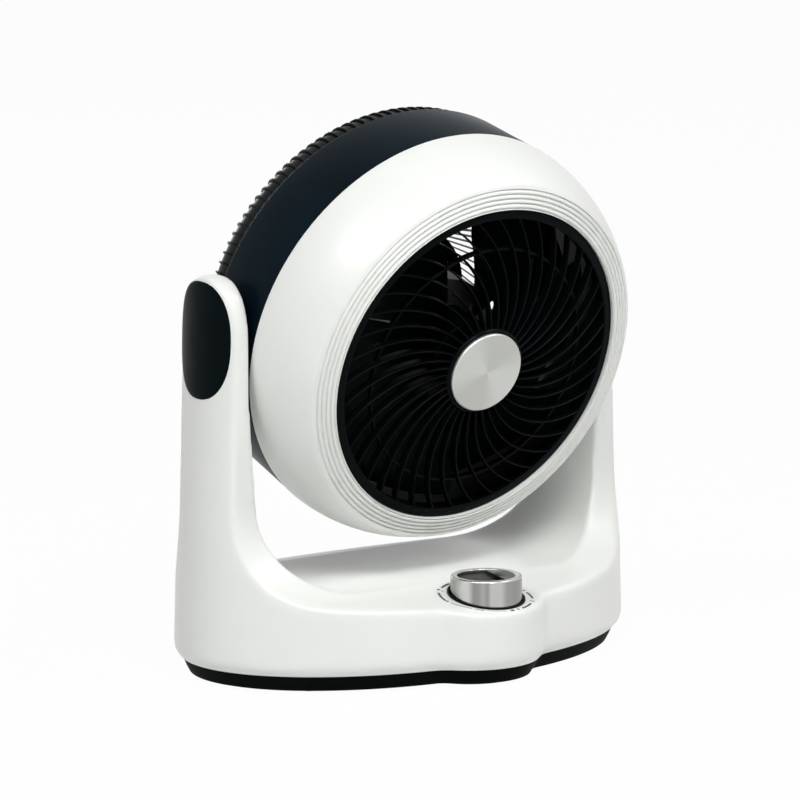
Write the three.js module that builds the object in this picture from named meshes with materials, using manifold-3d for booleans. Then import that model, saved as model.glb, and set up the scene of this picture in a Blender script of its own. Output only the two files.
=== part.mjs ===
// Table-top air circulator fan: a tilting round head carried between the arms of a U-shaped stand.
// Millimetres, +Z up. The origin is on the floor, in the middle of the stand's overall box.
// The front of the fan faces -Y. The head is built around its own air axis and hung at its rest tilt.
import * as THREE from "three";
import { mergeVertices } from "three/addons/utils/BufferGeometryUtils.js";
import Module from "manifold-3d";

const wasm = await Module();
wasm.setup();

// Fits shared by all pieces
const gap = 0.3; // between two pieces that touch on the real fan
const overrun = 2; // how far a cutting body runs past what it cuts
const half = 0.5;
const turnSteps = 40; // sides of the large round pieces
const ovalSteps = 64; // points of the stand's outline
const midSteps = 20; // sides of the motor's pieces and the knob
const smallSteps = 12; // sides of pins and bushes
const screwSteps = 8;
const knobSteps = 28;
const curveSteps = 8; // along a sweep or a corner
const toRadians = Math.PI / 180;

// Stand across: the outer walls, the arms and the U between them
const baseHalfWidth = 169;
const baseHalfDepth = 111;
const wallLean = 7.5; // the walls lean in by this from the floor to the arm tops
const armTopHalfWidth = baseHalfWidth - wallLean;
const topShare = armTopHalfWidth / baseHalfWidth;
const armThickness = 17;
const gapHalfWidth = armTopHalfWidth - armThickness; // of the U, where the head swings
const gapLean = 5.2; // the U's sides lean in by this, from below the head's widest place
const gapLeanDrop = 41.5; // of where the lean starts, below the pivot
const gapCornerRadius = 57;
const armAhead = 32.5; // reach of the arms forwards of the pivot
const armBehind = 30.5;
const shellWall = 3;
const headClearance = 3; // between the head and the arms
const crestRadius = gapHalfWidth - headClearance; // of the head at its widest

// Stand upwards
const wallBottom = 12.5;
const deckRise = 43.5; // of the sloping deck above the wall's foot, at the knob's axis
const deckHeight = wallBottom + deckRise;
const deckSlopeShare = 0.17; // fall per unit of length towards the front
const gapFloorRise = 6.8;
const gapFloor = deckHeight + gapFloorRise;
const headRise = 30.2; // free height under the head
const pivotHeight = gapFloor + headRise + crestRadius;
const sweepDepth = 52; // curve from the arm's front face down to the deck
const sweepHeight = 62;
const rearSweepDepth = 38;
const rearDeckDrop = 3; // of the deck behind the arms, below its height in front
const capCentreDrop = 4.2; // below the pivot
const armCrown = 42.2; // height of the arm's rounded top
const armTop = pivotHeight - capCentreDrop + armCrown;
const crownShare = 2.4; // squareness of the arm's top and of the cap

// Speed knob, its bezel and the round nose of the base that carries them
const knobRadius = 23.8;
const knobFlare = 0.6;
const knobFlareHeight = 8;
const knobWall = 2.4;
const knobDishDepth = 5;
const knobBossRadius = 6;
const knobClearance = 0.4;
const bezelBore = knobRadius + knobFlare + knobClearance;
const bezelWall = 0.9;
const bezelLip = 0.4;
const bezelHeight = 1.3;
const bezelSleeve = 6;
const knobWellRadius = bezelBore + bezelWall;
const knobWellWall = 3;
const bezelRadius = knobWellRadius + bezelLip;
const lobeMargin = 25.9; // of the deck around the bezel
const lobeRadius = bezelRadius + lobeMargin;
const lobeInset = 34;
const lobeCentreAhead = baseHalfDepth - lobeInset; // forward of the oval's centre
const lobeBlend = 6; // softness of the corner between oval and lobe
const lobeAngleShare = 0.15; // of half a turn, each side of straight ahead
const knobShift = 19.5;
const knobAhead = lobeCentreAhead + knobShift; // from the oval's centre to the knob's axis
const knobStand = 14.5;
const knobTop = deckHeight + knobStand;
const knobSink = 9.4;
const knobBottom = deckHeight - knobSink;
const insertThickness = 2;
const pointerHeight = 2.2;
const pointerAway = 7; // of the step from the knob's axis
const pointerAngle = -20; // degrees, of the step at rest from straight right
const standMidY = (lobeCentreAhead + lobeRadius - baseHalfDepth) * half;
const knobY = standMidY - knobAhead;

// Switch under the knob
const shelfDrop = 13.5;
const shelfTop = deckHeight - shelfDrop;
const shelfWall = 2.5;
const spindleRadius = 3;
const spindleDrop = 9.5; // of its end below the knob's rim
const spindleTop = knobTop - spindleDrop;
const spindleLength = 30;
const spindleBottom = spindleTop - spindleLength;
const switchSide = 27;
const switchHeight = 17;
const switchBushRadius = 4.6;
const switchBushRise = 3.7;
const switchBushTop = shelfTop + switchBushRise;
const nutRadius = 8;
const nutHeight = 2.4;
const nutSides = 6;

// Base plate, feet and screws
const skirtBottom = 2;
const skirtTopInset = 4;
const skirtBottomInset = 13;
const plateWall = 2.4;
const plateRimHeight = 5;
const plateRimWall = 2;
const footRadius = 9;
const footHeight = 3.2;
const footInsetX = 57; // of the feet from the oval's ends and sides
const footInsetY = 59;
const footX = baseHalfWidth - footInsetX;
const footY = baseHalfDepth - footInsetY;
const footPocket = 1.5;
const screwRadius = 1.8;
const screwHeadRadius = screwRadius * 2;
const screwHeadHeight = 2;
const baseScrewLength = 26;
const screwSeat = skirtBottom + plateWall + screwHeadHeight;
const bossWall = 2.4;
const bossRadius = screwHeadRadius + bossWall;
const bossInsetX = 77;
const bossInsetY = 65;
const bossX = baseHalfWidth - bossInsetX;
const bossY = baseHalfDepth - bossInsetY;
const bossRise = 3.5;
const bossSplit = wallBottom + bossRise; // where the plate's boss meets the shell's

// Pieces on the base plate and the cord's inlet
const capacitorLength = 37;
const capacitorWidth = 19;
const capacitorHeight = 25;
const capacitorX = 62;
const capacitorY = 12;
const terminalLength = 42;
const terminalWidth = 17;
const terminalHeight = 15;
const terminalPoles = 4;
const terminalX = -40;
const terminalInset = 41;
const terminalY = baseHalfDepth - terminalInset;
const inletRadius = 6.4;
const inletBore = 3.6;
const inletLip = 3.2;
const inletFlangeRadius = inletRadius + inletLip;
const inletFlange = 1.6;
const inletPocket = 2;
const inletBacking = 5.4;
const inletMargin = 3.4;
const inletBackingRadius = inletFlangeRadius + inletMargin;
const inletRise = 2.5; // of the backing above the plate's rim
const inletHeight = wallBottom + plateRimHeight + inletBackingRadius + inletRise;
const inletSeat = baseHalfDepth - inletPocket; // back from the oval's centre

// Arm caps
const capMargin = 2.5;
const capHalfDepth = armBehind - capMargin;
const capTopMargin = 3.6;
const capHalfHeight = armCrown - capTopMargin;
const capProud = 0.7;
const capWall = 2.6;
const capOpeningAway = 7.5;
const capOpeningInner = gapHalfWidth + capOpeningAway; // the opening cuts only outside this

// Pivot, seen along X from the fan's middle plane outwards
const trunnionRadius = 8;
const trunnionRim = 7;
const trunnionFlangeRadius = trunnionRadius + trunnionRim;
const trunnionFlange = 3.4;
const padDepth = 3.8;
const padMargin = 3;
const hubMargin = 2;
const hubProud = 0.7;
const drumPad = crestRadius - padDepth; // flat inner face of the drum's pad
const drumPadRadius = trunnionFlangeRadius + padMargin;
const drumHub = crestRadius + hubProud; // flat outer face of the drum's hub
const drumHubRadius = drumPadRadius + hubMargin;
const bushWall = 4;
const bushRadius = trunnionRadius + bushWall;
const bushRim = 3;
const bushFlangeRadius = bushRadius + bushRim;
const bushInnerFace = drumHub + gap;
const bushLength = 7;
const washerRim = 1.5;
const washerRadius = bushRadius + washerRim;
const washerThickness = 1.5;
const pivotScrewHeadRadius = 11;
const pivotScrewHead = 3;
const pivotScrewRadius = 3;
const pivotScrewLength = 13;

// Head: radii of the shells, from the crest inwards
const crestFall = 14.3;
const ringSeatRadius = crestRadius - crestFall;
const ringWidth = 16;
const openingRadius = ringSeatRadius - ringWidth;
const flangeLedge = 5.8;
const flangeRadius = openingRadius - flangeLedge; // inner edge of the shell's flange
const headWall = 2.4;
const ringGrooves = 5;
const groovePitch = 2.9;
const grooveInset = 1; // of the innermost groove from the opening's edge
const ridgeRise = 1.1;
const drumTaper = 3.2;
const drumRearRadius = crestRadius - drumTaper;
const drumWall = 5.5;
const drumBore = crestRadius - drumWall;
const drumFlangeWidth = 14;
const drumFlangeRadius = drumBore - drumFlangeWidth;
const spigotLength = 8;
const spigotWall = 2.2;

// Head: planes along its air axis, from the pivot forwards
const restTiltAngle = 16.4; // degrees, nose down
const seamPlane = 32; // white shell meets black drum
const drumLength = 52;
const drumRearPlane = seamPlane - drumLength;
const rearCupDepth = 26;
const rearCupPlane = drumRearPlane - rearCupDepth;
const rearCornerDepth = 14.7;
const rearCornerPlane = drumRearPlane - rearCornerDepth;
const rearShoulderDepth = 23.1;
const rearShoulderPlane = drumRearPlane - rearShoulderDepth;
const cupLength = 35;
const cupFront = rearCupPlane + cupLength;
const mountWall = 2.4;
const motorRear = cupFront + mountWall + gap * 2;
const rearBellLength = 16;
const coreLength = 18;
const frontBellLength = 16;
const coreRear = motorRear + rearBellLength;
const coreFront = coreRear + coreLength;
const motorFront = coreFront + frontBellLength;
const bladeSpace = 4;
const bladeHubLength = 30;
const bladeHubRear = motorFront + bladeSpace;
const bladeHubFront = bladeHubRear + bladeHubLength;
const bladeMid = (bladeHubRear + bladeHubFront) * half;
const nutSpace = 8;
const ringSeatPlane = bladeHubFront + nutSpace;
const recessDepth = 4.6;
const recessFloor = ringSeatPlane - recessDepth; // front face of the shell's inner flange
const ringRise = 5.2;
const openingPlane = ringSeatPlane + ringRise;
const badgeRise = 12.2;
const badgeFront = openingPlane + badgeRise;

// Front grille and badge
const badgeRadius = 27.6;
const badgeThickness = 2.6;
const badgeChamfer = 0.9;
const grilleFit = 0.4;
const grilleRadius = openingRadius - grilleFit;
const grilleRim = 6.4;
const grilleRimInner = grilleRadius - grilleRim;
const grilleHubRim = 2.6;
const grilleHubRadius = badgeRadius + grilleHubRim;
const grilleHubWall = 7.4;
const grilleCrown = 11.4;
const rimProud = 0.5; // of rims and rings beyond the vanes and ribs that end in them
const vaneCount = 40;
const vaneDepth = 6.4;
const vaneWidth = 1.9;
const vaneCurveShare = 1.2; // how late along its length a vane curves
const vaneSweepAngle = 29; // degrees, counter-clockwise from hub to rim, seen from the front
const stiffenerShare = 0.7116; // of the way from hub to rim
const stiffenerRadius = grilleHubRadius + (grilleRimInner - grilleHubRadius) * stiffenerShare;
const stiffenerWidth = 2;
const stiffenerDepth = 3;

// Air duct around the blade
const ductInset = 3.6;
const ductRadius = openingRadius - ductInset;
const ductWall = 2;
const ductOverlap = 12;
const ductRear = motorFront - ductOverlap;
const ductFlangeWidth = 7.4;
const ductFlangeRadius = ductRadius + ductWall + ductFlangeWidth;
const ductFlare = 8;

// Motor
const motorRadius = 42;
const bellWall = 2.2;
const coreWall = 18;
const coreBore = motorRadius - coreWall;
const airGap = 0.5;
const coilInset = 2;
const coilInner = coreBore + coilInset;
const coilRoom = 5;
const coilOuter = motorRadius - coilRoom;
const coilLength = 8;
const coilBars = 12;
const coilBarWidth = 5;
const coilBarDepth = 7;
const coilBarRadius = (coilInner + coilOuter) * half;
const cageWall = 8;
const cageInner = coreBore - cageWall;
const cageLength = 3;
const bearingRadius = 9;
const bearingLength = 7;
const bearingSeatWall = 2.2;
const bearingSeatLength = 8;
const shaftRadius = 4;
const shaftTail = 3.5;
const shaftRear = motorRear - shaftTail;
const shaftTip = 8;
const shaftFront = bladeHubFront + shaftTip;
const mountScrewAway = 4;
const mountScrewRing = motorRadius + mountScrewAway;
const mountScrews = 3;
const mountMargin = 3;
const mountRadius = mountScrewRing + mountMargin;
const motorScrewInset = 14;
const motorScrewRing = motorRadius - motorScrewInset;
const motorScrews = 3;
const motorScrewLength = 7;

// Rear grille
const rearInset = 2.4;
const rearRadius = drumRearRadius - rearInset;
const rearBandDepth = 3;
const rearShoulder = 7.9;
const rearShoulderRadius = rearRadius - rearShoulder;
const rearCupMargin = 9;
const rearCupRadius = mountRadius + rearCupMargin;
const rearRimWidth = 12;
const rearRimInner = rearRadius - rearRimWidth;
const rearRibs = 116;
const rearRibWidth = 1.9;
const rearRibDepth = 3.2;
const rearRibAngle = 32; // degrees, clockwise from cup to shoulder, seen from the front
const rearRibTaperShare = 0.6; // of the width left at the cup
const cupWall = 2.6;
const cupLedge = 8;
const grilleScrewInset = 3.8;
const grilleScrewRadius = rearRimInner + grilleScrewInset;
const grilleScrews = 4;
const grilleBossWall = 2.8;
const grilleBossRadius = screwRadius + grilleBossWall;
const grilleScrewLength = 12;

// Fan blade and its nut
const bladeClearance = 3.6;
const bladeRadius = ductRadius - bladeClearance;
const bladeHubRadius = 25;
const bladeBoss = 8;
const bladeHubWall = 2.6;
const bladeCount = 6;
const bladeRise = 24; // axial travel of one blade
const bladeThickness = 1.8;
const bladeChordAngle = 56; // degrees at the tip
const bladeRootShare = 0.86; // of the tip's chord angle
const bladeRakeAngle = 12; // degrees that the tip leads the root
const spinnerRadius = 11;
const spinnerHeight = 10.6;

// Finishes
const finishes = {
  whiteGloss: { color: 0xf1f2ee, roughness: 0.3, metalness: 0 },
  blackGloss: { color: 0x0c0f11, roughness: 0.22, metalness: 0 },
  blackSatin: { color: 0x121416, roughness: 0.5, metalness: 0 },
  silver: { color: 0xc6c8c3, roughness: 0.3, metalness: 0.9 },
  steel: { color: 0x9a9da0, roughness: 0.35, metalness: 1 },
  zinc: { color: 0x8d9296, roughness: 0.45, metalness: 0.9 },
  copper: { color: 0xb0622d, roughness: 0.4, metalness: 0.9 },
  rubber: { color: 0x1b1b1b, roughness: 0.9, metalness: 0 },
  beige: { color: 0xd9d3c2, roughness: 0.5, metalness: 0 },
};

// Turns a closed geometry into a solid that can be joined and cut.
function solid(geometry) {
  const bare = geometry.index ? geometry.toNonIndexed() : geometry.clone();
  bare.deleteAttribute("normal");
  bare.deleteAttribute("uv");
  const merged = mergeVertices(bare, 1e-4);
  const corners = [];
  for (let i = 0; i < merged.index.count; i += 3) {
    const [a, b, c] = [merged.index.getX(i), merged.index.getX(i + 1), merged.index.getX(i + 2)];
    if (a !== b && b !== c && c !== a) corners.push(a, b, c);
  }
  const made = new wasm.Mesh({
    numProp: 3,
    vertProperties: merged.attributes.position.array,
    triVerts: new Uint32Array(corners),
  });
  return new wasm.Manifold(made);
}

function geometryOf(body) {
  const mesh = body.getMesh();
  const geometry = new THREE.BufferGeometry();
  geometry.setAttribute("position", new THREE.BufferAttribute(mesh.vertProperties, 3));
  geometry.setIndex(new THREE.BufferAttribute(mesh.triVerts, 1));
  geometry.computeVertexNormals();
  return geometry;
}

function joined(bodies) {
  return bodies.reduce((all, body) => all.add(body));
}

// Axes that a flat outline is drawn in and pushed along: [outline x, outline y, push].
const unitX = new THREE.Vector3(1, 0, 0);
const unitY = new THREE.Vector3(0, 1, 0);
const unitZ = new THREE.Vector3(0, 0, 1);
const alongX = new THREE.Matrix4().makeBasis(unitY, unitZ, unitX);
const alongY = new THREE.Matrix4().makeBasis(unitX, unitZ, unitY.clone().negate());

// A prism of an outline, from one place to another along one of the axes above.
function prism(points, axes, from, to) {
  const geometry = new THREE.ExtrudeGeometry(new THREE.Shape(points), {
    depth: to - from,
    bevelEnabled: false,
  });
  geometry.translate(0, 0, axes === alongY ? -to : from);
  return solid(geometry.applyMatrix4(axes));
}

// A body of revolution around Z; the profile is a list of [radius, height].
function turned(profile, steps = turnSteps) {
  const points = profile.map(([radius, height]) => new THREE.Vector2(radius, height));
  const area = points.reduce((sum, p, i) => sum + p.cross(points[(i + 1) % points.length]), 0);
  if (area < 0) points.reverse();
  points.push(points[0].clone());
  return solid(new THREE.LatheGeometry(points, steps).rotateX(Math.PI / 2));
}

function rod(radius, from, to, steps = smallSteps) {
  return turned([[0, from], [radius, from], [radius, to], [0, to]], steps);
}

function tube(outer, inner, from, to, steps = turnSteps) {
  return turned([[inner, from], [outer, from], [outer, to], [inner, to]], steps);
}

function block(width, depth, height, x, y, bottom) {
  const geometry = new THREE.BoxGeometry(width, depth, height);
  return solid(geometry.translate(x, y, bottom + height * half));
}

// A body made of stacked outlines with equal numbers of points: a list of [points, height].
function stacked(layers) {
  const count = layers[0][0].length;
  const positions = [];
  const corner = ([points, height], i) => [points[i % count].x, points[i % count].y, height];
  for (let layer = 1; layer < layers.length; layer++) {
    const low = layers[layer - 1];
    const high = layers[layer];
    for (let i = 0; i < count; i++) {
      positions.push(...corner(low, i), ...corner(low, i + 1), ...corner(high, i + 1));
      positions.push(...corner(low, i), ...corner(high, i + 1), ...corner(high, i));
    }
  }
  const bottom = layers[0];
  const top = layers[layers.length - 1];
  for (const [a, b, c] of THREE.ShapeUtils.triangulateShape(bottom[0], [])) {
    positions.push(...corner(bottom, a), ...corner(bottom, c), ...corner(bottom, b));
    positions.push(...corner(top, a), ...corner(top, b), ...corner(top, c));
  }
  const geometry = new THREE.BufferGeometry();
  geometry.setAttribute("position", new THREE.Float32BufferAttribute(positions, 3));
  return solid(geometry);
}

// A bar of unit length, width and depth, bent by a function that places each of its points.
function bentBar(steps, widthSteps, bend) {
  const geometry = new THREE.BoxGeometry(1, 1, 1, steps, widthSteps, 1);
  const position = geometry.attributes.position;
  const point = new THREE.Vector3();
  for (let i = 0; i < position.count; i++) {
    point.fromBufferAttribute(position, i);
    position.setXYZ(i, ...bend(point.x + half, point.y, point.z));
  }
  return solid(geometry);
}

function screw(headRadius, headHeight, radius, length) {
  const profile = [
    [0, -headHeight],
    [headRadius, -headHeight],
    [headRadius, 0],
    [radius, 0],
    [radius, length],
    [0, length],
  ];
  return turned(profile, screwSteps);
}

// Directions of the outline's points, closer together over the lobe.
function planAngles() {
  const angles = [];
  const lobeHalf = Math.PI * lobeAngleShare;
  const front = -Math.PI / 2;
  const lobeSteps = ovalSteps / 4;
  const restSteps = ovalSteps - lobeSteps;
  for (let i = 0; i < lobeSteps; i++) angles.push(front - lobeHalf + (i / lobeSteps) * lobeHalf * 2);
  const rest = (Math.PI - lobeHalf) * 2;
  for (let i = 0; i < restSteps; i++) angles.push(front + lobeHalf + (i / restSteps) * rest);
  return angles;
}

// Plan outline of the stand: an oval with the knob's lobe blended into its front.
function planOutline(inset, share = 1) {
  const width = baseHalfWidth - inset;
  const depth = baseHalfDepth - inset;
  const lobe = lobeRadius - inset;
  const points = [];
  for (const angle of planAngles()) {
    const x = Math.cos(angle);
    const y = Math.sin(angle);
    const ovalReach = 1 / Math.hypot(x / width, y / depth);
    const sideways = lobeCentreAhead * x;
    const chord = lobe * lobe - sideways * sideways;
    const lobeReach = y < 0 && chord > 0 ? -y * lobeCentreAhead + Math.sqrt(chord) : 0;
    const near = Math.max(lobeBlend - Math.abs(ovalReach - lobeReach), 0);
    const reach = Math.max(ovalReach, lobeReach) + (near * near) / (lobeBlend * 4);
    points.push(new THREE.Vector2(x * reach * share, y * reach * share + standMidY));
  }
  return points;
}

// Height of the front deck's plane at a distance ahead of the oval's centre.
function deckAt(ahead) {
  return deckHeight + (knobAhead - ahead) * deckSlopeShare;
}

// One side of the stand seen from the right, as [distance, height]: its deck, the sweep up to the
// arm's face at a distance `face`, and half of the arm's rounded top.
function halfProfile(face, sweep, drop, inset) {
  const depth = face - inset;
  const sweepX = sweep + inset;
  const sweepY = sweepHeight + inset;
  const centreAway = face + sweep;
  const slope = (deckSlopeShare * sweep) / sweepHeight;
  const touch = sweep * (slope / Math.hypot(slope, 1));
  const touchDrop = sweepHeight / Math.hypot(slope, 1);
  const centreHeight = deckAt(centreAway - touch) - drop + touchDrop;
  const capHeight = pivotHeight - capCentreDrop;
  const crown = armTop - capHeight - inset;
  const far = lobeCentreAhead + lobeRadius + overrun;
  const points = [[far, -overrun], [far, deckAt(far) - drop - inset]];
  const startAngle = Math.asin(touch / sweep);
  for (let i = 0; i <= curveSteps; i++) {
    const angle = startAngle + (i / curveSteps) * (Math.PI / 2 - startAngle);
    points.push([centreAway - Math.sin(angle) * sweepX, centreHeight - Math.cos(angle) * sweepY]);
  }
  for (let i = 0; i < curveSteps; i++) {
    const angle = (i / curveSteps) * (Math.PI / 2);
    const power = 2 / crownShare;
    points.push([depth * Math.cos(angle) ** power, capHeight + crown * Math.sin(angle) ** power]);
  }
  return points;
}

// Side view of the stand: deck, sweep and rounded arm, in front and behind.
function sideOutline(inset) {
  const front = halfProfile(armAhead, sweepDepth, 0, inset);
  const rear = halfProfile(armBehind, rearSweepDepth, rearDeckDrop, inset);
  const back = rear.map(([behind, height]) => [-behind, height]).reverse();
  const all = [...front, [0, armTop - inset], ...back];
  return all.map(([ahead, height]) => new THREE.Vector2(standMidY - ahead, height));
}

// The U between the arms, widened by a wall.
function gapOutline(grow) {
  const width = gapHalfWidth + grow;
  const radius = gapCornerRadius + grow;
  const centreX = width - gapLean - radius;
  const centreHeight = gapFloor - grow + radius;
  const leanHeight = pivotHeight - gapLeanDrop;
  const top = armTop + overrun;
  const path = new THREE.Path();
  path.moveTo(width, top);
  path.lineTo(width, leanHeight);
  path.absarc(centreX, centreHeight, radius, 0, -Math.PI / 2, true);
  path.absarc(-centreX, centreHeight, radius, -Math.PI / 2, -Math.PI, true);
  path.lineTo(-width, leanHeight);
  path.lineTo(-width, top);
  return path.getPoints(curveSteps);
}

// Outline of an arm cap in the side view.
function capOutline(grow) {
  const points = [];
  const steps = curveSteps * 4;
  for (let i = 0; i < steps; i++) {
    const angle = (i / steps) * Math.PI * 2;
    const x = Math.cos(angle);
    const z = Math.sin(angle);
    const power = 2 / crownShare;
    points.push(
      new THREE.Vector2(
        standMidY + Math.sign(x) * (capHalfDepth + grow) * Math.abs(x) ** power,
        pivotHeight - capCentreDrop + Math.sign(z) * (capHalfHeight + grow) * Math.abs(z) ** power,
      ),
    );
  }
  return points;
}

// The leaning outer walls, up to above the arm tops.
function leaningWalls(inset, bottom) {
  const top = armTop + overrun;
  const shareAt = (height) => 1 - ((1 - topShare) * (height - wallBottom)) / (armTop - wallBottom);
  return stacked([
    [planOutline(inset, shareAt(bottom)), bottom],
    [planOutline(inset, shareAt(top)), top],
  ]);
}

const group = new THREE.Group();
const headGroup = new THREE.Group();
headGroup.position.set(0, standMidY, pivotHeight);
headGroup.rotation.x = (90 + restTiltAngle) * toRadians;
group.add(headGroup);

function place(name, body, finish, parent = group) {
  const material = new THREE.MeshStandardMaterial(finishes[finish]);
  const mesh = new THREE.Mesh(geometryOf(body), material);
  mesh.name = name;
  parent.add(mesh);
  return mesh;
}

// Pins lying along one of the three axes
function rodX(radius, from, to, steps = smallSteps) {
  return laid(rod(radius, from, to, steps), new THREE.Matrix4().makeRotationY(Math.PI / 2));
}

function rodAt(radius, from, to, x, y, steps = smallSteps) {
  return laid(rod(radius, from, to, steps), new THREE.Matrix4().makeTranslation(x, y, 0));
}

function laid(body, matrix) {
  return solid(geometryOf(body).applyMatrix4(matrix));
}

// Stand

function bossPlaces() {
  return [-1, 1].flatMap((sideX) =>
    [-1, 1].map((sideY) => [sideX * bossX, standMidY + sideY * bossY]),
  );
}

// A rod through the rear wall, straight back from the oval's centre.
function inletRod(radius, from, to) {
  const turn = new THREE.Matrix4().makeRotationX(-Math.PI / 2);
  turn.setPosition(0, standMidY, inletHeight);
  return laid(rod(radius, from, to), turn);
}

// What the arm caps and their openings share: a slice of the outer wall inside the cap's outline.
function capPrism(grow, side) {
  const inner = capOpeningInner;
  const outer = baseHalfWidth + overrun;
  return prism(capOutline(grow), alongX, side > 0 ? inner : -outer, side > 0 ? outer : -inner);
}

function pivotHole(radius) {
  const across = rodX(radius, -armTopHalfWidth + capWall * 2, armTopHalfWidth - capWall * 2);
  return laid(across, new THREE.Matrix4().makeTranslation(0, standMidY, pivotHeight));
}

function standShell() {
  const far = baseHalfWidth + overrun;
  const front = standMidY - baseHalfDepth - lobeRadius;
  const rear = standMidY + baseHalfDepth + lobeRadius;
  const outer = leaningWalls(0, wallBottom)
    .intersect(prism(sideOutline(0), alongX, -far, far))
    .subtract(prism(gapOutline(0), alongY, front, rear));
  const wellOuter = knobWellRadius + knobWellWall;
  const keep = joined([
    rodAt(wellOuter, shelfTop - shelfWall, armTop, 0, knobY, knobSteps),
    ...bossPlaces().map(([x, y]) => rodAt(bossRadius, bossSplit + gap, armTop, x, y, screwSteps)),
    inletRod(inletBackingRadius, inletSeat - inletBacking, rear),
  ]);
  const hollow = leaningWalls(shellWall, wallBottom - overrun)
    .intersect(prism(sideOutline(shellWall), alongX, -far, far))
    .subtract(prism(gapOutline(shellWall), alongY, front, rear))
    .subtract(keep);
  const screwEnd = screwSeat + baseScrewLength + overrun;
  const cuts = joined([
    hollow,
    rodAt(knobWellRadius, shelfTop, armTop, 0, knobY, knobSteps),
    rodAt(switchBushRadius + gap, shelfTop - shelfWall - overrun, shelfTop + overrun, 0, knobY),
    inletRod(inletFlangeRadius + gap, inletSeat, rear),
    inletRod(inletRadius + gap, inletSeat - inletBacking - overrun, rear),
    ...bossPlaces().map(([x, y]) => rodAt(screwRadius + gap, wallBottom, screwEnd, x, y, screwSteps)),
    pivotHole(bushRadius + gap),
    capPrism(gap, 1),
    capPrism(gap, -1),
  ]);
  return outer.subtract(cuts);
}

function basePlate() {
  const top = wallBottom - gap;
  const floor = skirtBottom + plateWall;
  const rimTop = wallBottom + plateRimHeight;
  const topInner = skirtTopInset + plateRimWall;
  const skirt = stacked([
    [planOutline(skirtBottomInset), skirtBottom],
    [planOutline(skirtTopInset), top],
    [planOutline(skirtTopInset), rimTop],
  ]);
  const hollow = stacked([
    [planOutline(skirtBottomInset + plateRimWall), floor],
    [planOutline(topInner), top],
    [planOutline(topInner), rimTop + overrun],
  ]);
  const bosses = bossPlaces().map(([x, y]) => rodAt(bossRadius, skirtBottom, bossSplit, x, y, screwSteps));
  const holes = bossPlaces().flatMap(([x, y]) => [
    rodAt(screwRadius + gap, 0, bossSplit + overrun, x, y, screwSteps),
    rodAt(screwHeadRadius + gap, 0, screwSeat, x, y, screwSteps),
  ]);
  const pockets = footPlaces().map(([x, y]) => rodAt(footRadius + gap, 0, skirtBottom + footPocket, x, y));
  return skirt.subtract(hollow).add(joined(bosses)).subtract(joined([...holes, ...pockets]));
}

function footPlaces() {
  return [-1, 1].flatMap((sideX) =>
    [-1, 1].map((sideY) => [sideX * footX, standMidY + sideY * footY]),
  );
}

function footShape() {
  const bevel = footPocket;
  return turned(
    [[0, 0], [footRadius - bevel, 0], [footRadius, bevel], [footRadius, footHeight], [0, footHeight]],
    smallSteps,
  );
}

function cordInlet() {
  const front = inletSeat - inletBacking - gap;
  const lip = inletRadius + inletFlange;
  const profile = [
    [inletBore, front - inletFlange],
    [lip, front - inletFlange],
    [lip, front],
    [inletRadius, front],
    [inletRadius, inletSeat + gap],
    [inletFlangeRadius, inletSeat + gap],
    [inletFlangeRadius, inletSeat + gap + inletFlange],
    [inletBore, inletSeat + gap + inletFlange],
  ];
  const turn = new THREE.Matrix4().makeRotationX(-Math.PI / 2);
  return laid(turned(profile, smallSteps), turn);
}

function armCap(side) {
  return leaningWalls(-capProud, wallBottom)
    .subtract(leaningWalls(capWall, wallBottom - overrun))
    .intersect(capPrism(0, side));
}

// Pivot pieces, drawn pointing along +Z and turned onto the pivot line

function pivotBush() {
  const bore = trunnionRadius + gap;
  const flangeEnd = gapHalfWidth - gap;
  const end = bushInnerFace + bushLength;
  return turned(
    [
      [bore, bushInnerFace],
      [bushFlangeRadius, bushInnerFace],
      [bushFlangeRadius, flangeEnd],
      [bushRadius, flangeEnd],
      [bushRadius, end],
      [bore, end],
    ],
    smallSteps,
  );
}

function trunnion() {
  const flangeStart = drumPad - gap - trunnionFlange;
  const bore = pivotScrewRadius + gap;
  const end = bushInnerFace + bushLength;
  return turned(
    [
      [bore, flangeStart],
      [trunnionFlangeRadius, flangeStart],
      [trunnionFlangeRadius, drumPad - gap],
      [trunnionRadius, drumPad - gap],
      [trunnionRadius, end],
      [bore, end],
    ],
    smallSteps,
  );
}

function pivotWasher() {
  const start = bushInnerFace + bushLength + gap;
  return tube(washerRadius, pivotScrewRadius + gap, start, start + washerThickness, smallSteps);
}

function pivotScrew() {
  const seat = bushInnerFace + bushLength + washerThickness + gap * 2;
  return laid(
    screw(pivotScrewHeadRadius, pivotScrewHead, pivotScrewRadius, pivotScrewLength),
    new THREE.Matrix4().makeRotationX(Math.PI).setPosition(0, 0, seat),
  );
}

// Switch and knob, drawn round their own axis

function bezel() {
  const full = rod(bezelRadius, shelfTop, armTop, knobSteps).intersect(aboveDeck(bezelHeight));
  const flange = full.subtract(aboveDeck(gap));
  const sleeveBottom = deckHeight - bezelSleeve - overrun;
  const sleeve = rod(knobWellRadius - gap, sleeveBottom, armTop, knobSteps);
  return flange
    .add(sleeve.intersect(aboveDeck(bezelHeight)))
    .subtract(rod(bezelBore, 0, armTop, knobSteps));
}

// The stand's side shape raised by a height, moved to the knob's own axis.
function aboveDeck(height) {
  const shape = prism(sideOutline(-height), alongX, -knobWellRadius * 2, knobWellRadius * 2);
  return laid(shape, new THREE.Matrix4().makeTranslation(0, -knobY, 0));
}

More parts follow.
